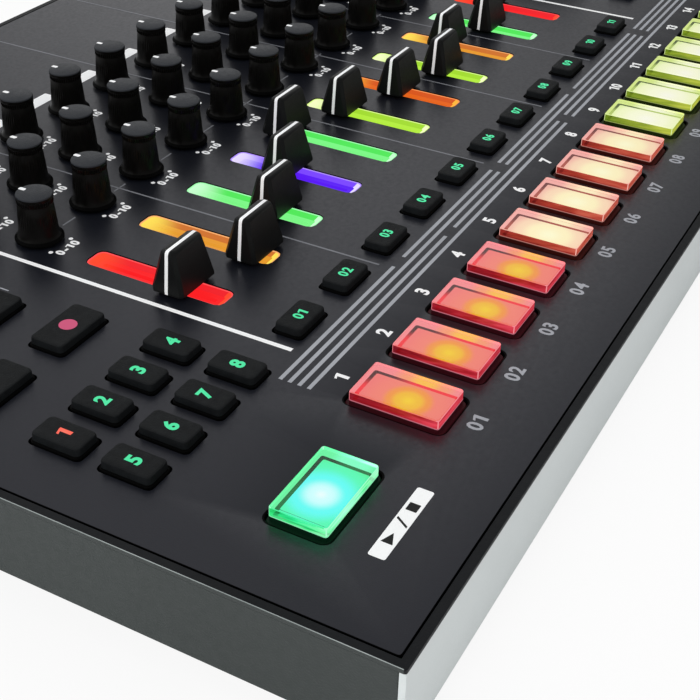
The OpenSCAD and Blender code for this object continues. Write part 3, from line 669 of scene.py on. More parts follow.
# Middle and reach of the glow along a trough, as shares of its width and length
TROUGH_SPOT = ((0.5, 0.3), (9.0, 0.7))
GUIDES = {lamp: [lit(lamp + "_guide_wall", [(0.0, wall), (0.6, wall), (0.95, end)], *TROUGH_SPOT),
                 lit(lamp + "_guide_floor", [(0.0, floor), (0.6, floor), (1.0, end)],
                     *TROUGH_SPOT),
                 lit(lamp + "_guide_end", flat(end)),
                 lit(lamp + "_guide_lip_glow_and_painted_highlight", flat(lip))]
          for lamp, (wall, floor, end, lip) in LAMPS.items()}

# Legends lit through the rubber, and the lamps of the display
GLOW_GREEN = lit("green_lit_legend", flat("#5ff0b0", "#4fe6a4"))
GLOW_RED = lit("red_lit_legend", flat("#ff7a66", "#ff6a58"))
GLOW_PINK = lit("pink_lit_legend", flat("#d86088", "#c85478"))
DIGIT_RED = lit("red_segment_lamp", flat("#ff3a2a", "#ff2a1c"))


# ---- camera and light ----

# The camera in the deck's frame: its place in millimetres and the directions of its picture
CAMERA_AT = Vector((-138.42, -62.39, 171.72))
CAMERA_RIGHT = Vector((0.4769, -0.8787, 0.0191))
CAMERA_UP = Vector((0.4948, 0.2864, 0.8204))
CAMERA_LENS = 66.4
SENSOR = 36.0


def place_camera():
    data = bpy.data.cameras.new("view")
    data.lens = CAMERA_LENS
    data.sensor_width = SENSOR
    data.clip_start = 0.01
    camera = placed("view", data)
    bpy.context.scene.camera = camera
    right = CAMERA_RIGHT.normalized()
    back = right.cross(CAMERA_UP).normalized()
    turn = Matrix((right, back.cross(right), back)).transposed()
    camera.matrix_world = (Matrix.Translation(DECK @ CAMERA_AT)
                           @ (DECK.to_3x3().normalized() @ turn).to_4x4())


# The room's light on matt faces, and how far the card is lifted to white for the camera
ROOM_LIGHT = 0.6
FLOOR_LIFT = 0.9
# How bright the room is in a mirror, by the mirrored ray's share of Y and of X
MIRRORED_AHEAD = ((0.0, 0.33), (0.16, 0.6), (0.23, 0.82), (0.29, 1.0))
MIRRORED_ACROSS = ((0.6, 0.54), (0.67, 0.64), (0.73, 0.92), (0.8, 1.0), (0.9, 0.58))


def light_studio():
    """An even white room, dimmer in front and at the left, and two large soft lamps."""
    world = bpy.data.worlds.new("studio")
    bpy.context.scene.world = world
    world.use_nodes = True
    tree = world.node_tree
    tree.nodes.clear()
    path = add(tree, "LightPath")
    aim = add(tree, "SeparateXYZ", links={0: add(tree, "TexCoord").outputs["Generated"]})
    ahead, across = [graded(tree, aim.outputs[axis], [(at, (v, v, v, 1)) for at, v in stops])
                     for axis, stops in (("Y", MIRRORED_AHEAD), ("X", MIRRORED_ACROSS))]
    both = add(tree, "Math", {"operation": "MULTIPLY"}, links={0: ahead, 1: across})
    level = add(tree, "MapRange", values={"To Min": ROOM_LIGHT},
                links={"Value": path.outputs["Is Glossy Ray"], "To Max": both.outputs[0]})
    clear = add(tree, "Math", {"operation": "MAXIMUM"},
                links={0: path.outputs["Is Camera Ray"], 1: path.outputs["Is Transmission Ray"]})
    strength = add(tree, "MapRange", values={"To Max": 1.0},
                   links={"Value": clear.outputs[0], "To Min": level.outputs["Result"]})
    back = add(tree, "Background", values={"Color": (1, 1, 1, 1)},
               links={"Strength": strength.outputs["Result"]})
    add(tree, "OutputWorld", links={"Surface": back.outputs[0]})
    for name, at, size, power in (("side_lamp", (-1.0, -0.2, 0.55), 1.1, 5.0),
                                  ("top_lamp", (0.2, 0.5, 1.2), 1.2, 3.0)):
        data = bpy.data.lights.new(name, "AREA")
        data.size = size
        data.energy = power
        lamp = placed(name, data)
        lamp.location = at
        lamp.rotation_euler = (-Vector(at)).to_track_quat("-Z", "Y").to_euler()
        lamp.visible_glossy = False


def lay_floor():
    """Matt white card under the object, nearly white to the camera and clear from below."""
    reach = 3.0
    mesh = bpy.data.meshes.new("floor")
    mesh.from_pydata([(-reach, -reach, 0), (reach, -reach, 0), (reach, reach, 0),
                      (-reach, reach, 0)], [], [(0, 1, 2, 3)])
    floor = placed("floor", mesh)
    material, tree, shader = surface("white_card", {"Base Color": (0.9, 0.9, 0.9, 1),
                                                    "Roughness": 0.9,
                                                    "Specular IOR Level": 0.0})
    seen = add(tree, "Math", {"operation": "MULTIPLY"}, {1: FLOOR_LIFT},
               {0: add(tree, "LightPath").outputs["Is Camera Ray"]})
    white = add(tree, "Emission", values={"Color": (1, 1, 1, 1), "Strength": 1.0})
    mix = add(tree, "MixShader", links={0: seen.outputs[0], 1: shader.outputs[0],
                                        2: white.outputs[0]})
    clear = add(tree, "MixShader", links={0: add(tree, "NewGeometry").outputs["Backfacing"],
                                          1: mix.outputs[0],
                                          2: add(tree, "BsdfTransparent").outputs[0]})
    tree.links.new(clear.outputs[0], tree.nodes["Material Output"].inputs["Surface"])
    mesh.materials.append(material)


bpy.context.scene.view_settings.view_transform = "Standard"
place_camera()
light_studio()
lay_floor()


# ---- case ----

def wall_ring(inset, z, front_step, rear_extra):
    """Rectangle round the case, so far in from its outer faces."""
    x0, x1 = inset, BODY_W - inset
    y0 = -RIM_W + inset + front_step
    y1 = DECK_BACK - inset - rear_extra
    r = max(CASE_CORNER - inset, 0.05)
    return raised(rounded(x1 - x0, y1 - y0, r, 3, ((x0 + x1) / 2, (y0 + y1) / 2)), z)


def make_case_shell():
    """The moulded frame: four walls, the rim round the panel and the ledge that carries it."""
    rear = REAR_WALL_T - WALL_T
    soft = 0.35
    edge = 0.12
    lip = 0.15
    # inset, height, step back in front, extra wall at the rear and the finish up to the next ring
    rings = [(WALL_T, -BAND_H, 0, rear, 0),
             (soft, -BAND_H, TRIM_T, 0, 0),
             (0, -BAND_H + soft, TRIM_T, 0, 0),
             (0, -TRIM_DROP - 0.05, TRIM_T, 0, 0),
             (0.05, -TRIM_DROP, 0, 0, 0),
             (0, -TRIM_DROP + 0.1, 0, 0, 0),
             # the band from here up to the top is the painted highlight of the hairline
             (0, -edge, 0, 0, 2),
             (edge, 0, 0, 0, 1),
             (RIM_W - lip, 0, 0, 0, 1),
             (RIM_W, -lip, 0, 0, 1),
             (RIM_W, -PANEL_T, 0, 0, 1),
             (RIM_W + LEDGE_W, -PANEL_T, 0, rear, 1),
             (RIM_W + LEDGE_W, -PANEL_T - LEDGE_T, 0, rear, 1),
             (WALL_T, -PANEL_T - LEDGE_T, 0, rear, 0)]
    form = Form()
    ids = [form.ring(wall_ring(*ring[:4])) for ring in rings]
    for low, high, ring in zip(ids, ids[1:] + ids[:1], rings):
        form.bridge(low, high, ring[4])
    for i, face in enumerate(form.faces):
        # over the strip the rim keeps its painted black shade, without the painted highlight of the
        # hairline
        if all(form.points[v][1] < 0 and form.points[v][2] > -TRIM_DROP - 0.1 for v in face):
            form.finishes[i] = 1
    shell = piece("case_shell", form, "case", [CASE_ABS, SHADED_RIM_ABS, EDGE_HIGHLIGHT_ABS],
                  ["top_frame"], sharp=20)
    cut(shell, *socket_openings())


def socket_openings():
    """Cutters for the recess in the rear wall and for the holes in its floor."""
    x0, x1 = SWITCH_X - RECESS_REACH, USB_X + RECESS_REACH
    height = BAND_H - 2 * RECESS_MARGIN
    outline = rounded(x1 - x0, height, 1.5, 4, ((x0 + x1) / 2, -BAND_H / 2))
    recess = Form()
    recess.loft([upright(outline, y) for y in (SOCKET_FACE, DECK_BACK + 1)])
    round_holes = ([(x, JACK_NECK_R + 0.1) for x in JACK_X] + [(x, DATA_R + 1.1) for x in DATA_X]
                   + [(INLET_X, INLET_R + 1.5)])
    outlines = [circle(r, 40, (x, SOCKET_Z)) for x, r in round_holes]
    outlines += [rounded(w, h, 0.3, 2, (x, SOCKET_Z))
                 for x, w, h in ((USB_X, USB_W + 2.2, USB_H + 2.2),
                                 (SWITCH_X, ROCKER_L + 3.2, ROCKER_W + 4.2))]
    holes = Form()
    for outline in outlines:
        holes.loft([upright(outline, y) for y in (DECK_BACK + 1, INNER_BACK - 1)])
    return recess, holes


def make_front_strip():
    """Painted strip along the front wall."""
    soft = 0.2
    low, high = deck_box("front_trim")
    w, h = high.x - low.x, high.z - low.z
    at = ((low.x + high.x) / 2, (low.z + high.z) / 2)
    form = Form()
    form.loft([upright(rounded(w - inset, h - inset, 0.3, 2, at), y)
               for y, inset in ((high.y, 0), (low.y + soft, 0), (low.y + soft * 0.3, soft * 0.6),
                                (low.y, 2 * soft))])
    piece("front_strip", form, "case", [STRIP_PAINT], ["front_trim"])


make_case_shell()
make_front_strip()


# ---- panel ----

def opening(w, l, r, steps, at, share=1.0):
    """Outline of an opening in the panel, for an edge set back by so much."""
    return lambda grow: rounded(w + 2 * grow * share, l + 2 * grow * share, r + grow * share,
                                steps, at)


def panel_cutouts():
    """Outlines of the panel's openings, in the order that the panel is made in."""
    wide = PAD_OUTLINE / PANEL_BREAK
    slots = [opening(SLOT_W, SLOT_L, SLOT_W / 4, 2, (x, SLOT_Y)) for x in CHANNEL_X]
    pads = [opening(PAD_HOLE_W, PAD_HOLE_L, PAD_HOLE_CORNER, 5, (x, PAD_Y), wide)
            for x in PAD_X]
    start = [opening(PAD_HOLE_L, PAD_HOLE_W, PAD_HOLE_CORNER, 5, START_PAD, wide)]
    keys = [opening(w + 2 * KEY_GAP, l + 2 * KEY_GAP, KEY_CORNER, 4, (x, y))
            for x, y, w, l in SELECT_KEYS + VARIATION_KEYS + MODE_KEYS]
    shafts = [lambda grow, p=p: circle(SHAFT_HOLE_R + grow, 24, p) for p in all_pots()]
    window = [opening(WINDOW_W + 2 * WINDOW_GAP, WINDOW_L + 2 * WINDOW_GAP, 1, 4,
                      (DISPLAY.x, DISPLAY.y))]
    return slots + pads + start + keys + shafts + window


def variation_keys():
    """The eight variation keys, front row first."""
    low, high = deck_box("variation_keys")
    edge_x = KEY_WEB_MARGIN + KEY_W / 2
    edge_y = KEY_WEB_MARGIN + KEY_L / 2
    step = (high.x - low.x - 2 * edge_x) / 3
    return [(low.x + edge_x + col * step, y, KEY_W, KEY_L)
            for y in (low.y + edge_y, high.y - edge_y) for col in range(4)]


def mode_keys():
    """The four mode keys at the left, then the three right-hand keys."""
    left, right = DIAL.x - RIGHT_KEY_PITCH / 2, DIAL.x + RIGHT_KEY_PITCH / 2
    places = MODE_KEYS_LEFT + [(left, RIGHT_KEY_Y), (right, RIGHT_KEY_Y), (left, TEMPO.y)]
    return [(x, y, MODE_KEY_L, MODE_KEY_W) for x, y in places]


# Each key is (x, y, width, length)
SELECT_KEYS = [(x, SELECT_Y, KEY_L, KEY_W) for x in CHANNEL_X]
VARIATION_KEYS = variation_keys()
MODE_KEYS = mode_keys()


def fixed_knobs():
    """Places of the knobs over the front row, with their names."""
    rows = KNOB_ROWS[1:]
    channel = [("%s_knob_%02d" % (job, i + 1), x, y)
               for job, y in (("tune", rows[1]), ("decay", rows[0]))
               for i, x in enumerate(CHANNEL_X)]
    side = [("side_knob_%d" % (3 * r + c + 1), x, y)
            for r, y in enumerate(rows) for c, x in enumerate(SIDE_KNOB_X)]
    return channel + side + [("volume_knob", TEMPO.x, VOLUME_Y)]


def all_pots():
    """Places of all the shafts that come through the panel."""
    return ([(x, y) for _, x, y in fixed_knobs()] + [(x, CTRL_Y) for x in CHANNEL_X]
            + [(DIAL.x, DIAL.y), (TEMPO.x, TEMPO.y)])


def make_panel():
    """The aluminium plate, with a fine break along every edge."""
    edge = PANEL_BREAK
    x0, x1 = RIM_W + PANEL_GAP, BODY_W - RIM_W - PANEL_GAP
    y0, y1 = PANEL_GAP, DECK_BACK - RIM_W - PANEL_GAP
    centre = ((x0 + x1) / 2, (y0 + y1) / 2)
    outer = lambda grow: rounded(x1 - x0 - 2 * grow, y1 - y0 - 2 * grow, CASE_CORNER, 3, centre)
    work = bmesh.new()
    top_edges = []
    low_edges = []
    for outline in [outer] + panel_cutouts():
        rings = []
        for grow, z in ((edge, 0), (0, -edge), (0, -PANEL_T)):
            rings.append([work.verts.new(p) for p in raised(outline(grow), z)])
        for a, b in zip(rings, rings[1:]):
            for i in range(len(a)):
                j = (i + 1) % len(a)
                work.faces.new((a[i], a[j], b[j], b[i])).material_index = 1
        for ring, edges in ((rings[0], top_edges), (rings[-1], low_edges)):
            for i in range(len(ring)):
                edges.append(work.edges.get((ring[i], ring[(i + 1) % len(ring)])))
    for edges, side in ((top_edges, 1), (low_edges, -1)):
        bmesh.ops.triangle_fill(work, use_beauty=True, edges=edges, normal=(0, 0, side))
    form = Form()
    work.verts.index_update()
    form.points = [tuple(v.co) for v in work.verts]
    for face in work.faces:
        form.face([v.index for v in face.verts], face.material_index)
    work.free()
    piece("panel", form, "case", [PANEL_ALUMINIUM, PANEL_EDGE], ["panel_plate"],
          sharp=20)


make_panel()


# ---- pads ----

def pad_block(w, l, at):
    """Clear block with sawn walls, over a lit diffuser, a dark joint round it and a lit rim, with
    painted glints on its bevel and corners and a painted highlight along its foot.
    """
    top, foot, corner = PAD_TOP_Z, PAD_FOOT_Z, 0.6
    rings = [(0.0, foot, 0.5), (-0.05, foot + 0.02, 0.65), (0, foot + 0.25, corner),
             (0, top - PAD_BEVEL, corner), (0.1, top - 0.1, corner), (PAD_BEVEL, top, corner - 0.1)]
    form = Form()
    ids = [form.ring(ring) for ring in stack(
        [(w - 2 * inset, l - 2 * inset, r, z) for inset, z, r in rings], 3, at)]
    # finishes: 4 the rim, 6 a painted highlight along the foot, 1 the walls, 5 a painted glint on
    # the bevel, 0 the top
    for low, high, finish in zip(ids, ids[1:], (4, 6, 1, 5, 0)):
        form.bridge(low, high, finish)
        if finish == 1:
            # the rounded corners of the walls get the painted glint
            form.finishes[-len(low) + 1::4] = [5] * 4
        if finish == 5:
            # toward the left wall the bevel is painted with the plate's glow instead of the glint
            form.finishes[-len(low) + 7] = 2
    form.face(ids[-1], 0)
    around = ids[0]
    for left, right, back, front, r, finish in ((1.0, 1.8, 0.75, 0.25, 0.5, 4),
                                                (1.6, 2.75, 1.7, 0.5, 0.4, 3)):
        inner = form.ring(raised(rounded(w - left - right, l - back - front, r, 3,
                                         (at[0] + (left - right) / 2, at[1] + (front - back) / 2)),
                                 foot))
        form.bridge(inner, around, finish)
        around = inner
    form.face(around[::-1], 2)
    return form


def pad_skirt(w, l, at):
    """The tinted skirt that carries the block, its flange under the panel, and its stem."""
    hole_w, hole_l = (PAD_HOLE_L, PAD_HOLE_W) if w > l else (PAD_HOLE_W, PAD_HOLE_L)
    skirt_w = hole_w - 2 * SKIRT_GAP
    skirt_l = hole_l - 2 * SKIRT_GAP
    under = -PANEL_T - SKIRT_GAP
    form = Form()
    form.loft(stack([(skirt_w + 2, skirt_l + 2, 1.7, under - 1),
                     (skirt_w + 2, skirt_l + 2, 1.7, under),
                     (skirt_w, skirt_l, 1.7, under),
                     (skirt_w, skirt_l, 1.7, PAD_BASE_Z - 0.2),
                     (skirt_w - 0.3, skirt_l - 0.3, 1.6, PAD_BASE_Z),
                     (w + 0.1, l + 0.1, 0.7, PAD_BASE_Z),
                     (w + 0.1, l + 0.1, 0.7, PAD_FOOT_Z - 0.02)], 4, at))
    low = deck_box("start_pad")[0].z
    form.stamp(turned([(STEM_R - 0.2, low), (STEM_R, low + 0.3), (STEM_R, under - 1)], 24, at))
    return form


def make_pads():
    looks = ["red"] * 4 + ["rose"] * 4 + ["lime"] * 8
    places = [(node, (x, PAD_Y), PAD_W, PAD_L, look)
              for node, x, look in zip(STEP_PADS, PAD_X, looks)]
    places.append(("start_pad", START_PAD, PAD_L, PAD_W, "green"))
    for node, at, w, l, look in places:
        finishes = PAD_LOOKS[look]
        piece(node + "_block", pad_block(w, l, at), node, finishes[:-1], [node],
              sharp=15)
        piece(node + "_skirt", pad_skirt(w, l, at), node, finishes[-1:])


make_pads()


# ---- light bars ----

BAR_LIP_Z = -0.25
BAR_FLOOR_Z = -1.5
BAR_LIP = 0.4
BAR_WALL = 1.4
BAR_END = 2.2


def light_bar(x):
    """A lit trough with sloping walls and, along its floor, the slit for the fader's lever."""
    at = (x, SLOT_Y)
    w, l, r = SLOT_W - 0.1, SLOT_L - 0.1, SLOT_W / 4
    low_z = deck_box("led_bars")[0].z
    shapes = [(w + 2.4, l + 2.4, 1, low_z), (w + 2.4, l + 2.4, 1, -PANEL_T - 0.05),
              (w, l, r, -PANEL_T - 0.05), (w, l, r, BAR_LIP_Z),
              (w - 2 * BAR_LIP, l - 2 * BAR_LIP, r - 0.3, BAR_LIP_Z - 0.1),
              (w - 2 * BAR_WALL, l - 2 * BAR_END, 0.6, BAR_FLOOR_Z),
              (SLIT_W - 0.4, SLIT_L - 2, 0.5, BAR_FLOOR_Z - 0.1),
              (SLIT_W - 0.4, SLIT_L - 2, 0.5, low_z)]
    form = Form()
    ids = [form.ring(ring) for ring in stack(shapes, 3, at)]
    for k, (low, high) in enumerate(zip(ids, ids[1:] + ids[:1])):
        # the lip ring (finish 3) carries the painted highlight
        form.bridge(low, high, 3 if k == 3 else 1 if k > 4 else 0)
    for i, face in enumerate(form.faces):
        along = sum(form.points[v][1] - SLOT_Y for v in face) / 4
        if form.finishes[i] == 0 and along < -0.5 * l + BAR_END:
            form.finishes[i] = 2
    return form


def make_light_bars():
    for i, x in enumerate(CHANNEL_X):
        lamp = CHANNEL_LAMPS[i % len(CHANNEL_LAMPS)]
        piece("light_bar_%02d" % (i + 1), light_bar(x), "case", GUIDES[lamp],
              ["led_bars"] if i == 0 else [], sharp=20)


make_light_bars()


# ---- faders ----

def cap_outline(at, z, foot_z, top_z, inset):
    """Outline of a fader cap at a height, tapering from its foot to its top."""
    share = min(max((z - foot_z) / (top_z - foot_z), 0), 1)
    w = CAP_FOOT_W + (CAP_TOP_W - CAP_FOOT_W) * share - 2 * inset
    l = CAP_FOOT_L + (CAP_TOP_L - CAP_FOOT_L) * share - 2 * inset
    return rounded(w, l, CAP_CORNER, 1, (at.x, at.y))


def fader_cap(at, low_z, top_z):
    """Tapered cap with chamfered corners, a soft top, its lever and the white line over it."""
    foot_z = CAP_FOOT_Z
    lip_z = foot_z + 1.2
    heights = [(foot_z, 0.3), (foot_z + 0.3, 0), (lip_z, 0), ((lip_z + top_z) / 2, 0),
               (top_z - 0.9, 0), (top_z - 0.45, 0.12), (top_z - 0.15, 0.38), (top_z, 0.8)]
    form = Form()
    rings = [raised(cap_outline(at, z, lip_z, top_z, inset), z) for z, inset in heights]
    form.loft(rings)
    # a black plinth under the cap, painted as the shade in the gap over the panel
    form.slab(cap_outline(at, foot_z, lip_z, top_z, 0.9), 0.4, foot_z + 0.1, 3)
    form.slab(rounded(1.2, 2.4, 0.2, 1, (at.x, at.y)), low_z, foot_z + 0.3, 1)
    side = [(max(p[0] for p in ring) - at.x, ring[0][2]) for ring in rings[1:]]
    path = [(-u, z) for u, z in side] + [(u, z) for u, z in reversed(side)]
    mid_z = (foot_z + top_z) / 2
    proud = 0.03
    outer = [(u + math.copysign(proud, u), z + (proud if z > mid_z else 0)) for u, z in path]
    inner = [(u - math.copysign(4 * proud, u), z - (4 * proud if z > mid_z else 0))
             for u, z in path]
    line = Form()
    half = CAP_LINE_W / 2
    ends = [line.ring([(at.x + u, at.y + v, z) for u, z in outer + inner[::-1]])
            for v in (half, -half)]
    line.bridge(*ends)
    n = len(path)
    for ids in ends:
        for i in range(n - 1):
            line.face((ids[i], ids[i + 1], ids[2 * n - 2 - i], ids[2 * n - 1 - i]))
    form.stamp(line, finish=2)
    return form


def make_faders():
    low, high = deck_box(FADERS[0])
    for node in FADERS:
        piece(node + "_cap", fader_cap(middle(node), low.z, high.z), node,
              [CAP_ABS, POT_STEEL, WHITE_INK_PAINTED_GLOW, FOOT_SHADE_RUBBER], [node])


make_faders()


# ---- knobs ----

def fit_out(form, at, mark, heights, shaft_low):
    """Adds the white mark, (width, length, radius, distance from the axis), and the shaft."""
    w, l, r, out = mark
    form.slab(rounded(w, l, r, 2, (at[0], at[1] + out)), *heights, 2)
    form.stamp(turned([(SHAFT_R - 0.1, shaft_low), (SHAFT_R, shaft_low + 0.2),
                       (SHAFT_R, SHAFT_TOP_Z)], 24, at))
    return form


def knob_form(at):
    """A slim knob: flared foot, ribbed cone, toothed neck and a smooth flat top."""
    top = KNOB_TOP_Z - 0.06
    teeth = (top - 2.5, top - 1.45)

    def ripple(r, z, i):
        if i % 2 and 3.2 < z < top - 2.9:
            return r - RIB_DEPTH
        if i % 2 and teeth[0] < z < teeth[1]:
            return r - TOOTH_DEPTH
        return r

    def finish_of(z):
        # the foot below 1.9 mm is painted black as the knob's shade on the panel
        return 1 if z > top - 0.2 else 3 if z < 1.9 else 0

    profile = [(5.6, 0.6), (6.2, 0.6), (6.45, 0.8), (6.45, 1.1), (6.25, 1.35), (5.8, 1.75),
               (5.45, 2.3), (5.25, 3.1), (5.17, 4.2), (4.95, 7.5), (4.66, top - 3.0),
               (4.5, top - 2.85), (4.5, top - 2.6), (4.78, top - 2.45), (4.78, top - 1.5),
               (4.55, top - 1.4), (4.55, top - 1.3), (4.8, top - 1.15), (4.85, top - 1.0),
               (4.85, top - 0.4), (4.75, top - 0.12), (4.55, top)]
    form = turned(profile, 2 * KNOB_RIBS, at, finish_of, ripple)
    return fit_out(form, at, (1.2, 2.0, 0.35, 3.85), (top - 0.35, top + 0.012), -8)


def make_knobs():
    finishes = [KNOB_BODY, KNOB_TOP, WHITE_INK_PAINTED_GLOW, FOOT_SHADE_RUBBER]
    for node in CTRL_KNOBS:
        at = middle(node)
        piece(node + "_body", knob_form((at.x, at.y)), node, finishes, [node])
    for i, (name, x, y) in enumerate(fixed_knobs()):
        piece(name, knob_form((x, y)), "case", finishes,
              [] if i else ["upper_knobs"])


make_knobs()


# ---- keys ----

def key_form(x, y, w, l):
    """A rubber key: a slightly wider foot, and a soft-edged top."""
    top = KEY_TOP_Z
    rings = [(0, KEY_CORNER, -PANEL_T - 0.3), (0, KEY_CORNER, 0.2), (0.07, KEY_CORNER, 0.3),
             (0.22, KEY_CORNER, 0.36), (0.27, KEY_CORNER, 0.6), (0.36, 1.25, top - 0.4),
             (0.45, 1.2, top - 0.18), (0.65, 1.1, top - 0.06), (1.0, 0.9, top - 0.01),
             (1.8, 0.6, top)]
    form = Form()
    form.loft(stack([(w - 2 * inset, l - 2 * inset, r, z) for inset, r, z in rings], 4, (x, y)))
    # the foot is painted black as the shade round the key
    for i, face in enumerate(form.faces):
        if all(form.points[v][2] < 0.61 for v in face):
            form.finishes[i] = 1
    return form


def key_block(places, webs):
    """Keys of one rubber sheet, with the sheet under the panel."""
    form = Form()
    for x, y, w, l in places:
        form.stamp(key_form(x, y, w, l))
    under = -PANEL_T - 0.3
    for group in webs:
        xs = [k[0] for k in group]
        ys = [k[1] for k in group]
        w, l = group[0][2:]
        form.slab(rounded(max(xs) - min(xs) + w + 2 * KEY_WEB_MARGIN,
                          max(ys) - min(ys) + l + 2 * KEY_WEB_MARGIN, 0.5, 2,
                          ((max(xs) + min(xs)) / 2, (max(ys) + min(ys)) / 2)),
                  under - KEY_WEB_T, under - 0.01)
    return form


def make_keys():
    for sheet, keys, webs in (("select", SELECT_KEYS, [SELECT_KEYS]),
                              ("variation", VARIATION_KEYS, [VARIATION_KEYS]),
                              ("mode", MODE_KEYS, [MODE_KEYS[:4], MODE_KEYS[4:6], MODE_KEYS[6:]])):
        piece(sheet + "_key_sheet", key_block(keys, webs), sheet + "_keys",
              [KEY_RUBBER, FOOT_SHADE_RUBBER], [sheet + "_keys"])


def make_key_legends():
    """Numbers on the select and variation keys, and discs and arrows on the mode keys."""
    ink_z = KEY_TOP_Z + INK_LIFT
    numbers = Form()
    for i, (x, y, _, _) in enumerate(SELECT_KEYS):
        numbers.stamp(printed("%02d" % (i + 1), 2.6, 0.03), (x, y, ink_z))
    piece("select_key_numbers", numbers, "select_keys", [GLOW_GREEN])
    numbers, first = Form(), Form()
    for i, (x, y, _, _) in enumerate(VARIATION_KEYS):
        # the back row is 1 to 4, and its first key is lit red
        into = first if i == 4 else numbers
        into.stamp(printed(str((i + 4) % 8 + 1), 3.4, 0.04), (x, y, ink_z))
    piece("variation_key_numbers", numbers, "variation_keys", [GLOW_GREEN])
    piece("variation_key_first", first, "variation_keys", [GLOW_RED])
    discs, arrows = Form(), Form()
    for i, (x, y, _, _) in enumerate(MODE_KEYS):
        if i in DISC_KEYS:
            discs.slab(circle(2.2, 32, (x, y)), ink_z, ink_z + INK_T)
        else:
            arrows.slab([(x - 1.8, y - 2.1), (x + 2.2, y), (x - 1.8, y + 2.1)], ink_z,
                        ink_z + INK_T)
    piece("mode_key_discs", discs, "mode_keys", [GLOW_PINK])
    piece("mode_key_arrows", arrows, "mode_keys", [GLOW_GREEN])


make_keys()
make_key_legends()


# ---- printing on the panel ----

PAD_LABEL_Y = 15.4
PAD_NUMBER_Y = 48.9
PAD_PRINT_SHIFT = 0.6
# White plate in front of the start pad: two corners, then its play sign, stop sign and stroke
START_PLATE = (22.0, 13.5, 44.15, 17.3)
START_SIGNS = (((26.4, 14.1), (29.6, 15.4), (26.4, 16.7)),
               ((36.9, 14.2), (39.3, 14.2), (39.3, 16.6), (36.9, 16.6)),
               ((31.9, 13.9), (32.5, 13.9), (34.4, 16.9), (33.8, 16.9)))
# Rows of stripes behind the pads, each with the pads after which it is broken
STRIPES = ((60.5, (3, 6, 9, 12, 15)), (58.1, (6, 12)), (55.6, (4, 8, 12)), (53.1, (8,)))
STRIPE_W = 1.0
STRIPE_FROM_X = 61.9
# Where the stripes count pads from, and the two sides of a break, in shares of the pads' pitch
STRIPE_COUNT_X = 69.35
STRIPE_BREAK = (-0.66, -0.395)
SEPARATOR_Y = 64.0
SEPARATOR_W = 1.3
SEPARATOR_X = (72.45, CHANNEL_X[-1] + 13.0)
THIN_SEPARATOR_X = (117.4, 184.4, 231.05, 275.9)
CHANNEL_PLATE = (12.6, 4.8)
CHANNEL_PLATE_Y = 204.0
# Two corners of each bar of the bracket round the mode keys
BRACKET = ((59.9, 137.5, 60.3, 140.3), (12.0, 140.0, 60.3, 140.4))
DIAL_RING_R = 24.5
DIAL_RING_W = 0.5


def ink(form, outline, level=0):
    """Adds a printed patch, on the panel or on a first coat of ink."""
    low = INK_LIFT + level * INK_T
    form.slab(outline, low, low + INK_T)


def strip(form, x0, y0, x1, y1, r=0.01, steps=1):
    """A printed rectangle between two corners."""
    ink(form, rounded(abs(x1 - x0), abs(y1 - y0), r, steps, ((x0 + x1) / 2, (y0 + y1) / 2)))


def knob_scale(form, x, y):
    """Two dots and a plain scale in front of a knob."""
    for side in (-1, 1):
        ink(form, circle(0.62, 16, (x + side * 4.1, y - 6.9)))
    form.stamp(printed("0-10", 2.4, 0.05, 7.8), (x, y - 9.1, INK_LIFT))


def print_pads(white, grey, black):
    """Numbers at the pads, stripes behind them and the plate in front of the start pad."""
    for i, x in enumerate(PAD_X):
        at = x + PAD_PRINT_SHIFT
        white.stamp(printed(str(i + 1), 3.4, 0.04), (at, PAD_NUMBER_Y, INK_LIFT))
        grey.stamp(printed("%02d" % (i + 1), 3.5, 0.03), (at, PAD_LABEL_Y, INK_LIFT))
    strip(white, *START_PLATE, 0.5, 3)
    for sign in START_SIGNS:
        ink(black, sign, 1)
    pitch = PAD_X[1] - PAD_X[0]
    for y, broken_after in STRIPES:
        x = STRIPE_FROM_X
        for k in broken_after:
            end, start = [STRIPE_COUNT_X + pitch * (k + share) for share in STRIPE_BREAK]
            strip(grey, x, y - STRIPE_W / 2, end, y + STRIPE_W / 2)
            x = start
        strip(grey, x, y - STRIPE_W / 2, PAD_X[-1] + 9.4, y + STRIPE_W / 2)


def print_channels(white, grey, faint):
    """Separators, the scales of the knobs, plates behind the channels and a bracket."""
    top_y = DECK_BACK - RIM_W - 3.5
    for x in SEPARATOR_X:
        strip(white, x, SEPARATOR_Y, x + SEPARATOR_W, top_y)
    for x in THIN_SEPARATOR_X:
        strip(faint, x - 0.3, SEPARATOR_Y + 0.2, x + 0.3, top_y)
    for a, b in zip(CHANNEL_X, CHANNEL_X[1:]):
        strip(faint, a + 8.6, CTRL_Y - 0.85, b - 8.6, CTRL_Y - 0.35)
    for row, y in enumerate(KNOB_ROWS):
        for x in (SIDE_KNOB_X if row else []) + (CHANNEL_X if row < 3 else []):
            knob_scale(white, x, y)
    for x in CHANNEL_X:
        ink(white, rounded(*CHANNEL_PLATE, 0.5, 3, (x, CHANNEL_PLATE_Y)))
    for bar in BRACKET:
        strip(grey, *bar)


def print_right(white):
    """The broken ring round the dial and the scale of the volume knob."""
    count = 64
    arc = [math.radians(-60 + 300 * i / count) for i in range(count + 1)]
    outer, inner = [[(DIAL.x + r * math.cos(a), DIAL.y + r * math.sin(a)) for a in arc]
                    for r in (DIAL_RING_R, DIAL_RING_R - DIAL_RING_W)]
    for i in range(count):
        ink(white, [inner[i], outer[i], outer[i + 1], inner[i + 1]])
    knob_scale(white, TEMPO.x, VOLUME_Y)


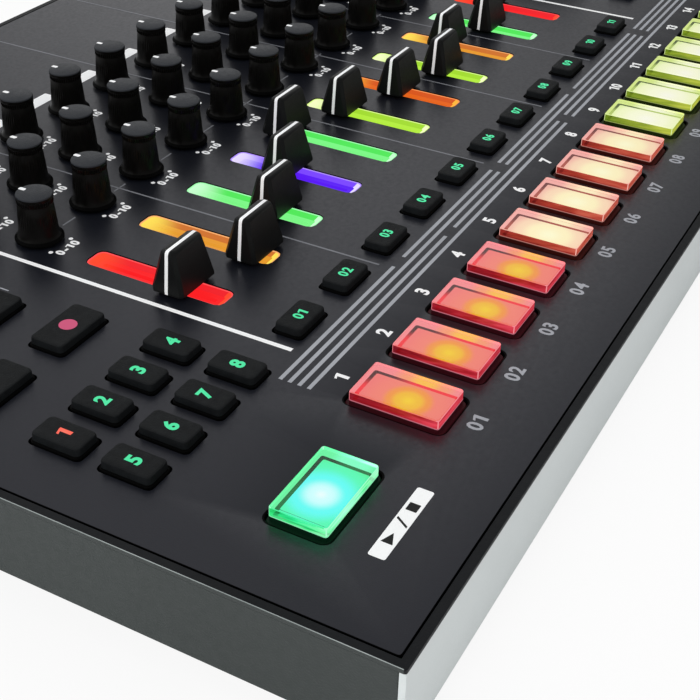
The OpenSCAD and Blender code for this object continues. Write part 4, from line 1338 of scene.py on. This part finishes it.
def make_printing():
    white, grey, faint, black = Form(), Form(), Form(), Form()
    print_pads(white, grey, black)
    print_channels(white, grey, faint)
    print_right(white)
    for name, form, coat in (("white_print", white, WHITE_INK_PAINTED_GLOW), ("grey_print", grey, GREY_INK),
                             ("faint_print", faint, FAINT_INK), ("black_print", black, BLACK_INK)):
        piece(name, form, "case", [coat])


make_printing()


# ---- lower body, feet and screws ----

ROW_MM = Matrix.Scale(MM, 4)
FOOT_PLACES = [(x, y) for x in (-177.5, 177.5) for y in (-102.7, 104.45)]
SCREW_PLACES = [(7.1, 5.0), (204.5, 5.0), (401.9, 5.0), (7.1, 250.8), (100.0, 250.8),
                (401.9, 250.8)]
BASE_W = BODY_W - 2 * BASE_INSET
BASE_L = 235.19
BASE_Y = 0.855


def from_row(x, y, z):
    """Deck millimetres of a place in the row's millimetres."""
    return TO_DECK @ (Vector((x, y, z)) * MM)


def make_tray():
    """The tray that closes the frame, with wells for the screws' heads."""
    low, high = deck_box("bottom_case")
    w, l = high.x - low.x - 0.3, high.y - low.y - 0.3
    tray = Form()
    tray.loft(stack([(w - 0.5, l - 0.5, 0.6, -BAND_H), (w, l, 0.8, -BAND_H + 0.25),
                     (w, l, 0.8, high.z)], 3, ((low.x + high.x) / 2, (low.y + high.y) / 2)))
    made = piece("tray", tray, "case", [TRAY_ABS], ["bottom_case"], sharp=25)
    wells = Form()
    r = SCREW_HEAD_R + 0.1
    for place in SCREW_PLACES:
        wells.stamp(turned([(r, -BAND_H - 1), (r, -BAND_H + 1.2)], 32, place))
    cut(made, wells)


def make_wedge():
    """The level wedge under the tray, which stands on the feet, and its blank rating plate."""
    rise = from_row(0, 0, 1) - from_row(0, 0, 0)
    outline = lambda inset: rounded(BASE_W - 2 * inset, BASE_L - 2 * inset, 3 - inset, 4,
                                    (0, BASE_Y))
    rings = [[from_row(x, y, z) for x, y in outline(inset)]
             for inset, z in ((1.5, FOOT_H), (0.6, FOOT_H + 0.25), (0.15, FOOT_H + 0.8),
                              (0, FOOT_H + 1.6))]
    top = []
    for x, y in outline(0):
        start = from_row(x, y, 0)
        top.append(start + rise * ((-BAND_H + 1 - start.z) / rise.z))
    body = Form()
    body.loft(rings + [top])
    piece("wedge", body, "case", [TRAY_ABS], sharp=25)
    plate = Form()
    plate.slab(rounded(74, 34, 2, 4, (0, BASE_Y - 20)), FOOT_H - 0.15, FOOT_H + 0.1)
    piece("rating_plate", plate, "case", [LABEL_FILM], place=ROW_MM)


def make_feet():
    """Four turned rubber feet, hollowed underneath."""
    form = Form()
    foot = turned([(3.0, 1.0), (3.3, 0.9), (3.5, 0.15), (3.7, 0), (FOOT_R - 1.1, 0),
                   (FOOT_R - 0.5, 0.15), (FOOT_R - 0.2, 0.6), (FOOT_R, FOOT_H - 0.2),
                   (FOOT_R, FOOT_H), (FOOT_R - 0.5, FOOT_H + 0.2)], 48)
    for x, y in FOOT_PLACES:
        form.stamp(foot, (x, y, 0))
    piece("feet", form, "case", [FOOT_RUBBER], ["rubber_feet"], place=ROW_MM)


def make_screws():
    """Six pan-head screws with cross recesses."""
    form = Form()
    crosses = Form()
    w, t = 1.5, 0.28
    cross = [(t, t), (t, w), (-t, w), (-t, t), (-w, t), (-w, -t), (-t, -t), (-t, -w), (t, -w),
             (t, -t), (w, -t), (w, t)]
    head = [(SCREW_HEAD_R - inset, -BAND_H + z)
            for inset, z in ((0.9, 0), (0.3, 0.1), (0.05, 0.4), (0, 0.7), (0, 1.15))]
    thread = [(SCREW_R, -BAND_H + 1.2), (SCREW_R, -12.4), (SCREW_R - 0.5, -12)]
    for x, y in SCREW_PLACES:
        form.stamp(turned(head + thread, 32, (x, y)))
        crosses.slab([(x + u, y + v) for u, v in cross], -BAND_H - 1, -BAND_H + 0.9)
    made = piece("screws", form, "case", [ZINC_STEEL], ["case_screws"])
    cut(made, crosses)


make_tray()
make_wedge()
make_feet()
make_screws()


# ---- back wall ----

# Turns that point a form's axis out of the back wall, or set print so that it reads there
OUTWARD = Matrix.Rotation(-math.pi / 2, 4, "X")
REAR_TEXT = Matrix(((-1, 0, 0, 0), (0, 0, 1, 0), (0, 1, 0, 0), (0, 0, 0, 1)))


def rear_shell(x, rings, finish=0):
    """Closed skin over rounded rectangles of (width, height, radius, depth) in the back wall."""
    form = Form()
    form.loft([upright(rounded(w, h, r, 3, (x, SOCKET_Z)), SOCKET_FACE + out)
               for w, h, r, out in rings], finish)
    return form


def in_wall(form, other, x, z=SOCKET_Z, finish=None):
    """Stamps a turned form into the back wall, its foot inside."""
    form.stamp(other, (x, SOCKET_FACE, z), OUTWARD, finish)


def make_jacks():
    """Seven jacks with hexagonal nuts, and a number over each."""
    count = 48

    def hexagon(r, z, i):
        side = NUT_FLAT / math.cos(math.radians((i * 360 / count) % 60 - 30))
        return min(side, r) if r > NUT_FLAT else r

    nut = turned([(3.8, -0.2), (5.3, -0.2), (5.3, 0.85), (4.9, 1.05), (3.8, 1.05)], count,
                 ripple=hexagon, hollow=True)
    neck = turned([(4.2, -17.5), (4.2, -0.3), (3.9, -0.1), (3.9, 1.2), (3.8, 1.35),
                   (JACK_BORE_R + 0.15, 1.4), (JACK_BORE_R, 1.25), (JACK_BORE_R, -16)], count,
                  finish_of=lambda z: 0 if z > -1 else 1)
    jacks = Form()
    numbers = Form()
    for i, x in enumerate(JACK_X):
        in_wall(jacks, nut, x)
        in_wall(jacks, neck, x)
        numbers.stamp(printed(str(i + 1), 1.7, 0.03), (x, SOCKET_FACE + INK_LIFT, -4.9), REAR_TEXT)
    piece("jacks", jacks, "case", [NICKEL, SOCKET_NYLON], ["rear_sockets"])
    piece("jack_numbers", numbers, "case", [WHITE_INK_PAINTED_GLOW])


def make_data_sockets():
    """Two round data sockets, each with five pin holes and a key hole."""
    ring = turned([(DATA_R + 1, -12), (DATA_R + 1, 0.3), (DATA_R + 0.8, 0.5), (DATA_R + 0.2, 0.5),
                   (DATA_R, 0.3), (DATA_R, -8)], 56)
    core = turned([(DATA_R - 0.5, -8.5), (DATA_R - 0.5, -1.1), (DATA_R - 0.7, -0.9)], 56)
    data = Form()
    pins = Form()
    for x in DATA_X:
        in_wall(data, ring, x)
        in_wall(data, core, x)
        for angle in (0, 45, 90, 135, 180):
            turn = math.radians(angle)
            in_wall(pins, turned([(0.75, -4), (0.75, 2)], 16),
                    x + DATA_PIN_R * math.cos(turn), SOCKET_Z + DATA_PIN_R * math.sin(turn))
        in_wall(pins, turned([(1.2, -4), (1.2, 2)], 20), x, SOCKET_Z - 5.9)
    made = piece("data_sockets", data, "case", [SOCKET_NYLON])
    cut(made, pins)


def make_square_socket():
    """Square data socket: a metal shell with its tongue."""
    w, h = USB_W, USB_H
    form = rear_shell(USB_X, [(w + 1.8, h + 1.8, 0.8, -11), (w + 1.8, h + 1.8, 0.8, 0.1),
                              (w + 1.2, h + 1.2, 0.8, 0.3), (w + 0.2, h + 0.2, 0.7, 0.3),
                              (w, h, 0.6, 0.1), (w, h, 0.6, -9)])
    form.stamp(rear_shell(USB_X, [(5.6, 3.2, 0.3, -9), (5.6, 3.2, 0.3, -0.8),
                                  (5.2, 2.8, 0.3, -0.6)], 1))
    piece("square_socket", form, "case", [NICKEL, SOCKET_NYLON])


def make_power_inlet():
    """Round power inlet with its centre pin."""
    form = Form()
    in_wall(form, turned([(INLET_R + 1.4, -12), (INLET_R + 1.4, 0.2), (INLET_R + 1.2, 0.4),
                          (INLET_R + 0.2, 0.4), (INLET_R, 0.2), (INLET_R, -9.5)], 48), INLET_X)
    in_wall(form, turned([(0.9, -9.6), (0.9, -1.4), (0.6, -1)], 20), INLET_X, finish=1)
    piece("power_inlet", form, "case", [SOCKET_NYLON, NICKEL])


def make_switch_housing():
    w, h = ROCKER_L + 0.3, ROCKER_W + 0.3
    form = rear_shell(SWITCH_X, [(w + 2.7, h + 3.7, 0.8, -10), (w + 2.7, h + 3.7, 0.8, 0.2),
                                 (w + 2.3, h + 3.3, 0.8, 0.4), (w + 0.3, h + 0.3, 0.5, 0.4),
                                 (w, h, 0.4, 0.1), (w, h, 0.4, -6)])
    piece("switch_housing", form, "case", [SOCKET_NYLON])


def dress(node, material):
    """Gives a CAD node that stays in view its material; returns its mesh."""
    mesh = frame["nodes"][node].data
    mesh.materials.clear()
    mesh.materials.append(material)
    return mesh


def make_rocker():
    """The power switch's rocker with its two marks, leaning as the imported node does."""
    mesh = dress("power_switch", SOCKET_NYLON)
    tree = BVHTree.FromPolygons([v.co for v in mesh.vertices], [p.vertices for p in mesh.polygons])
    bar = Form()
    ink(bar, rounded(0.5, 2.4, 0.1, 1))
    marks = Form()
    for side, sign in ((-1, bar), (1, hoop(1.2, 0.4, INK_LIFT))):
        x = SWITCH_X + side * 3.3
        start = DECK @ Vector((x, DECK_BACK + 10, SOCKET_Z))
        hit, normal, _, _ = tree.ray_cast(start, (DECK.to_3x3() @ Vector((0, -1, 0))).normalized())
        spot = TO_DECK @ hit
        lean = (TO_DECK.to_3x3() @ normal).normalized()
        turn = Matrix.Rotation(-math.atan2(lean.x, lean.y), 4, "Z") @ REAR_TEXT
        marks.stamp(sign, spot, turn)
    piece("rocker_marks", marks, "power_switch", [WHITE_INK_PAINTED_GLOW])


def hoop(r, width, z):
    """A printed ring."""
    form = Form()
    outer, inner = circle(r, 32), circle(r - width, 32)
    ids = [form.ring(raised(o, h)) for o, h in ((outer, z), (outer, z + INK_T),
                                                (inner, z + INK_T), (inner, z))]
    for a, b in zip(ids, ids[1:] + ids[:1]):
        form.bridge(a, b)
    return form


make_jacks()
make_data_sockets()
make_square_socket()
make_power_inlet()
make_switch_housing()
make_rocker()


# ---- display, dial and tempo knob ----

def digit(sign, at, h=9.0):
    """A seven-segment figure, leaning to the right, as thin bars."""
    w, t, gap = 0.52 * h, 0.12 * h, 0.05
    shown = {"0": "abcdef", "1": "bc", "2": "abged"}[sign]
    bars = {"a": (0, h, 1), "g": (0, h / 2, 1), "d": (0, 0, 1), "b": (w, 0.75 * h, 0),
            "c": (w, 0.25 * h, 0), "e": (0, 0.25 * h, 0), "f": (0, 0.75 * h, 0)}
    form = Form()
    for name in shown:
        x, y, level = bars[name]
        half = (w if level else h / 2) / 2 - gap
        mid = (w / 2, y) if level else (x, y)
        shape = [(-half, 0), (-half + t / 2, -t / 2), (half - t / 2, -t / 2), (half, 0),
                 (half - t / 2, t / 2), (-half + t / 2, t / 2)]
        points = [(mid[0] + (u if level else -v), mid[1] + (v if level else u)) for u, v in shape]
        form.slab([(at[0] + u + 0.14 * v, at[1] + v - h / 2) for u, v in points], at[2],
                  at[2] + 0.08)
    return form


def make_display():
    """A smoked window over three lit figures, and the lamp block under the panel."""
    low, high = deck_box("display_module")
    at = (DISPLAY.x, DISPLAY.y)
    body = Form()
    body.slab(rounded(high.x - low.x, high.y - low.y, 0.8, 3, at), low.z, -1.6)
    piece("display_block", body, "case", [SOCKET_NYLON], ["display_module"])
    figures = Form()
    for sign, x in zip("120", (-13.5, -2.5, 8.5)):
        figures.stamp(digit(sign, (DISPLAY.x + x, DISPLAY.y, -1.59)))
    piece("display_figures", figures, "case", [DIGIT_RED])
    window = Form()
    window.loft(stack([(WINDOW_W, WINDOW_L, 0.8, -1.45), (WINDOW_W, WINDOW_L, 0.8, -0.25),
                       (WINDOW_W - 0.3, WINDOW_L - 0.3, 0.7, -0.1)], 4, at))
    piece("display_window", window, "case", [SMOKED_ACRYLIC])


def ribbed(profile, count, at, cap_z, band, deep):
    """A turned control with grooves in the band between two heights, and a satin cap."""
    return turned(profile, 2 * count, at, lambda z: 1 if z > cap_z else 0,
                  lambda r, z, i: r - deep if i % 2 and band[0] < z < band[1] else r)


def make_dial():
    at = (DIAL.x, DIAL.y)
    form = ribbed([(20.6, 0.5), (21, 0.7), (21, 2.4), (20.7, 2.75), (19.4, 3.1), (19, 3.6),
                   (18.9, 4.2), (18.15, 10.4), (18.0, 10.9), (17.6, 11.6), (17, 12), (15.2, 12),
                   (14.6, 11.8), (12.4, 10.6), (11.8, 10.4), (4, 10.3)], 90, at, 11.9, (3.9, 10.6),
                  0.4)
    fit_out(form, at, (1.3, 2.6, 0.3, 15.6), (11.8, 12.0), -8.8)
    piece("effect_dial_body", form, "effect_dial", [KNOB_BODY, KNOB_TOP, WHITE_INK_PAINTED_GLOW],
          ["effect_dial"])


def make_tempo_knob():
    at = (TEMPO.x, TEMPO.y)
    form = ribbed([(9.6, 0.5), (10, 0.7), (10, 1.3), (9.8, 1.6), (9.1, 2.1), (8.9, 2.9),
                   (8.8, 3.3), (8.1, 12.2), (8.0, 12.6), (7.9, 13.3), (7.6, 13.8), (7.2, 14)],
                  44, at, 13.5, (3.1, 12.4), 0.3)
    fit_out(form, at, (1.2, 3.0, 0.3, 5.6), (13.8, 14.0), -8.8)
    piece("tempo_knob_body", form, "tempo_knob", [KNOB_BODY, KNOB_TOP, WHITE_INK_PAINTED_GLOW],
          ["tempo_knob"])


make_display()
make_dial()
make_tempo_knob()


# ---- the CAD nodes that stay, inside the case ----

for node, material in (("main_board", BOARD_EPOXY), ("control_board", BOARD_EPOXY),
                       ("pad_guide", GUIDE_ACETAL), ("slide_pots", POT_STEEL),
                       ("rotary_pots", POT_STEEL)):
    dress(node, material)
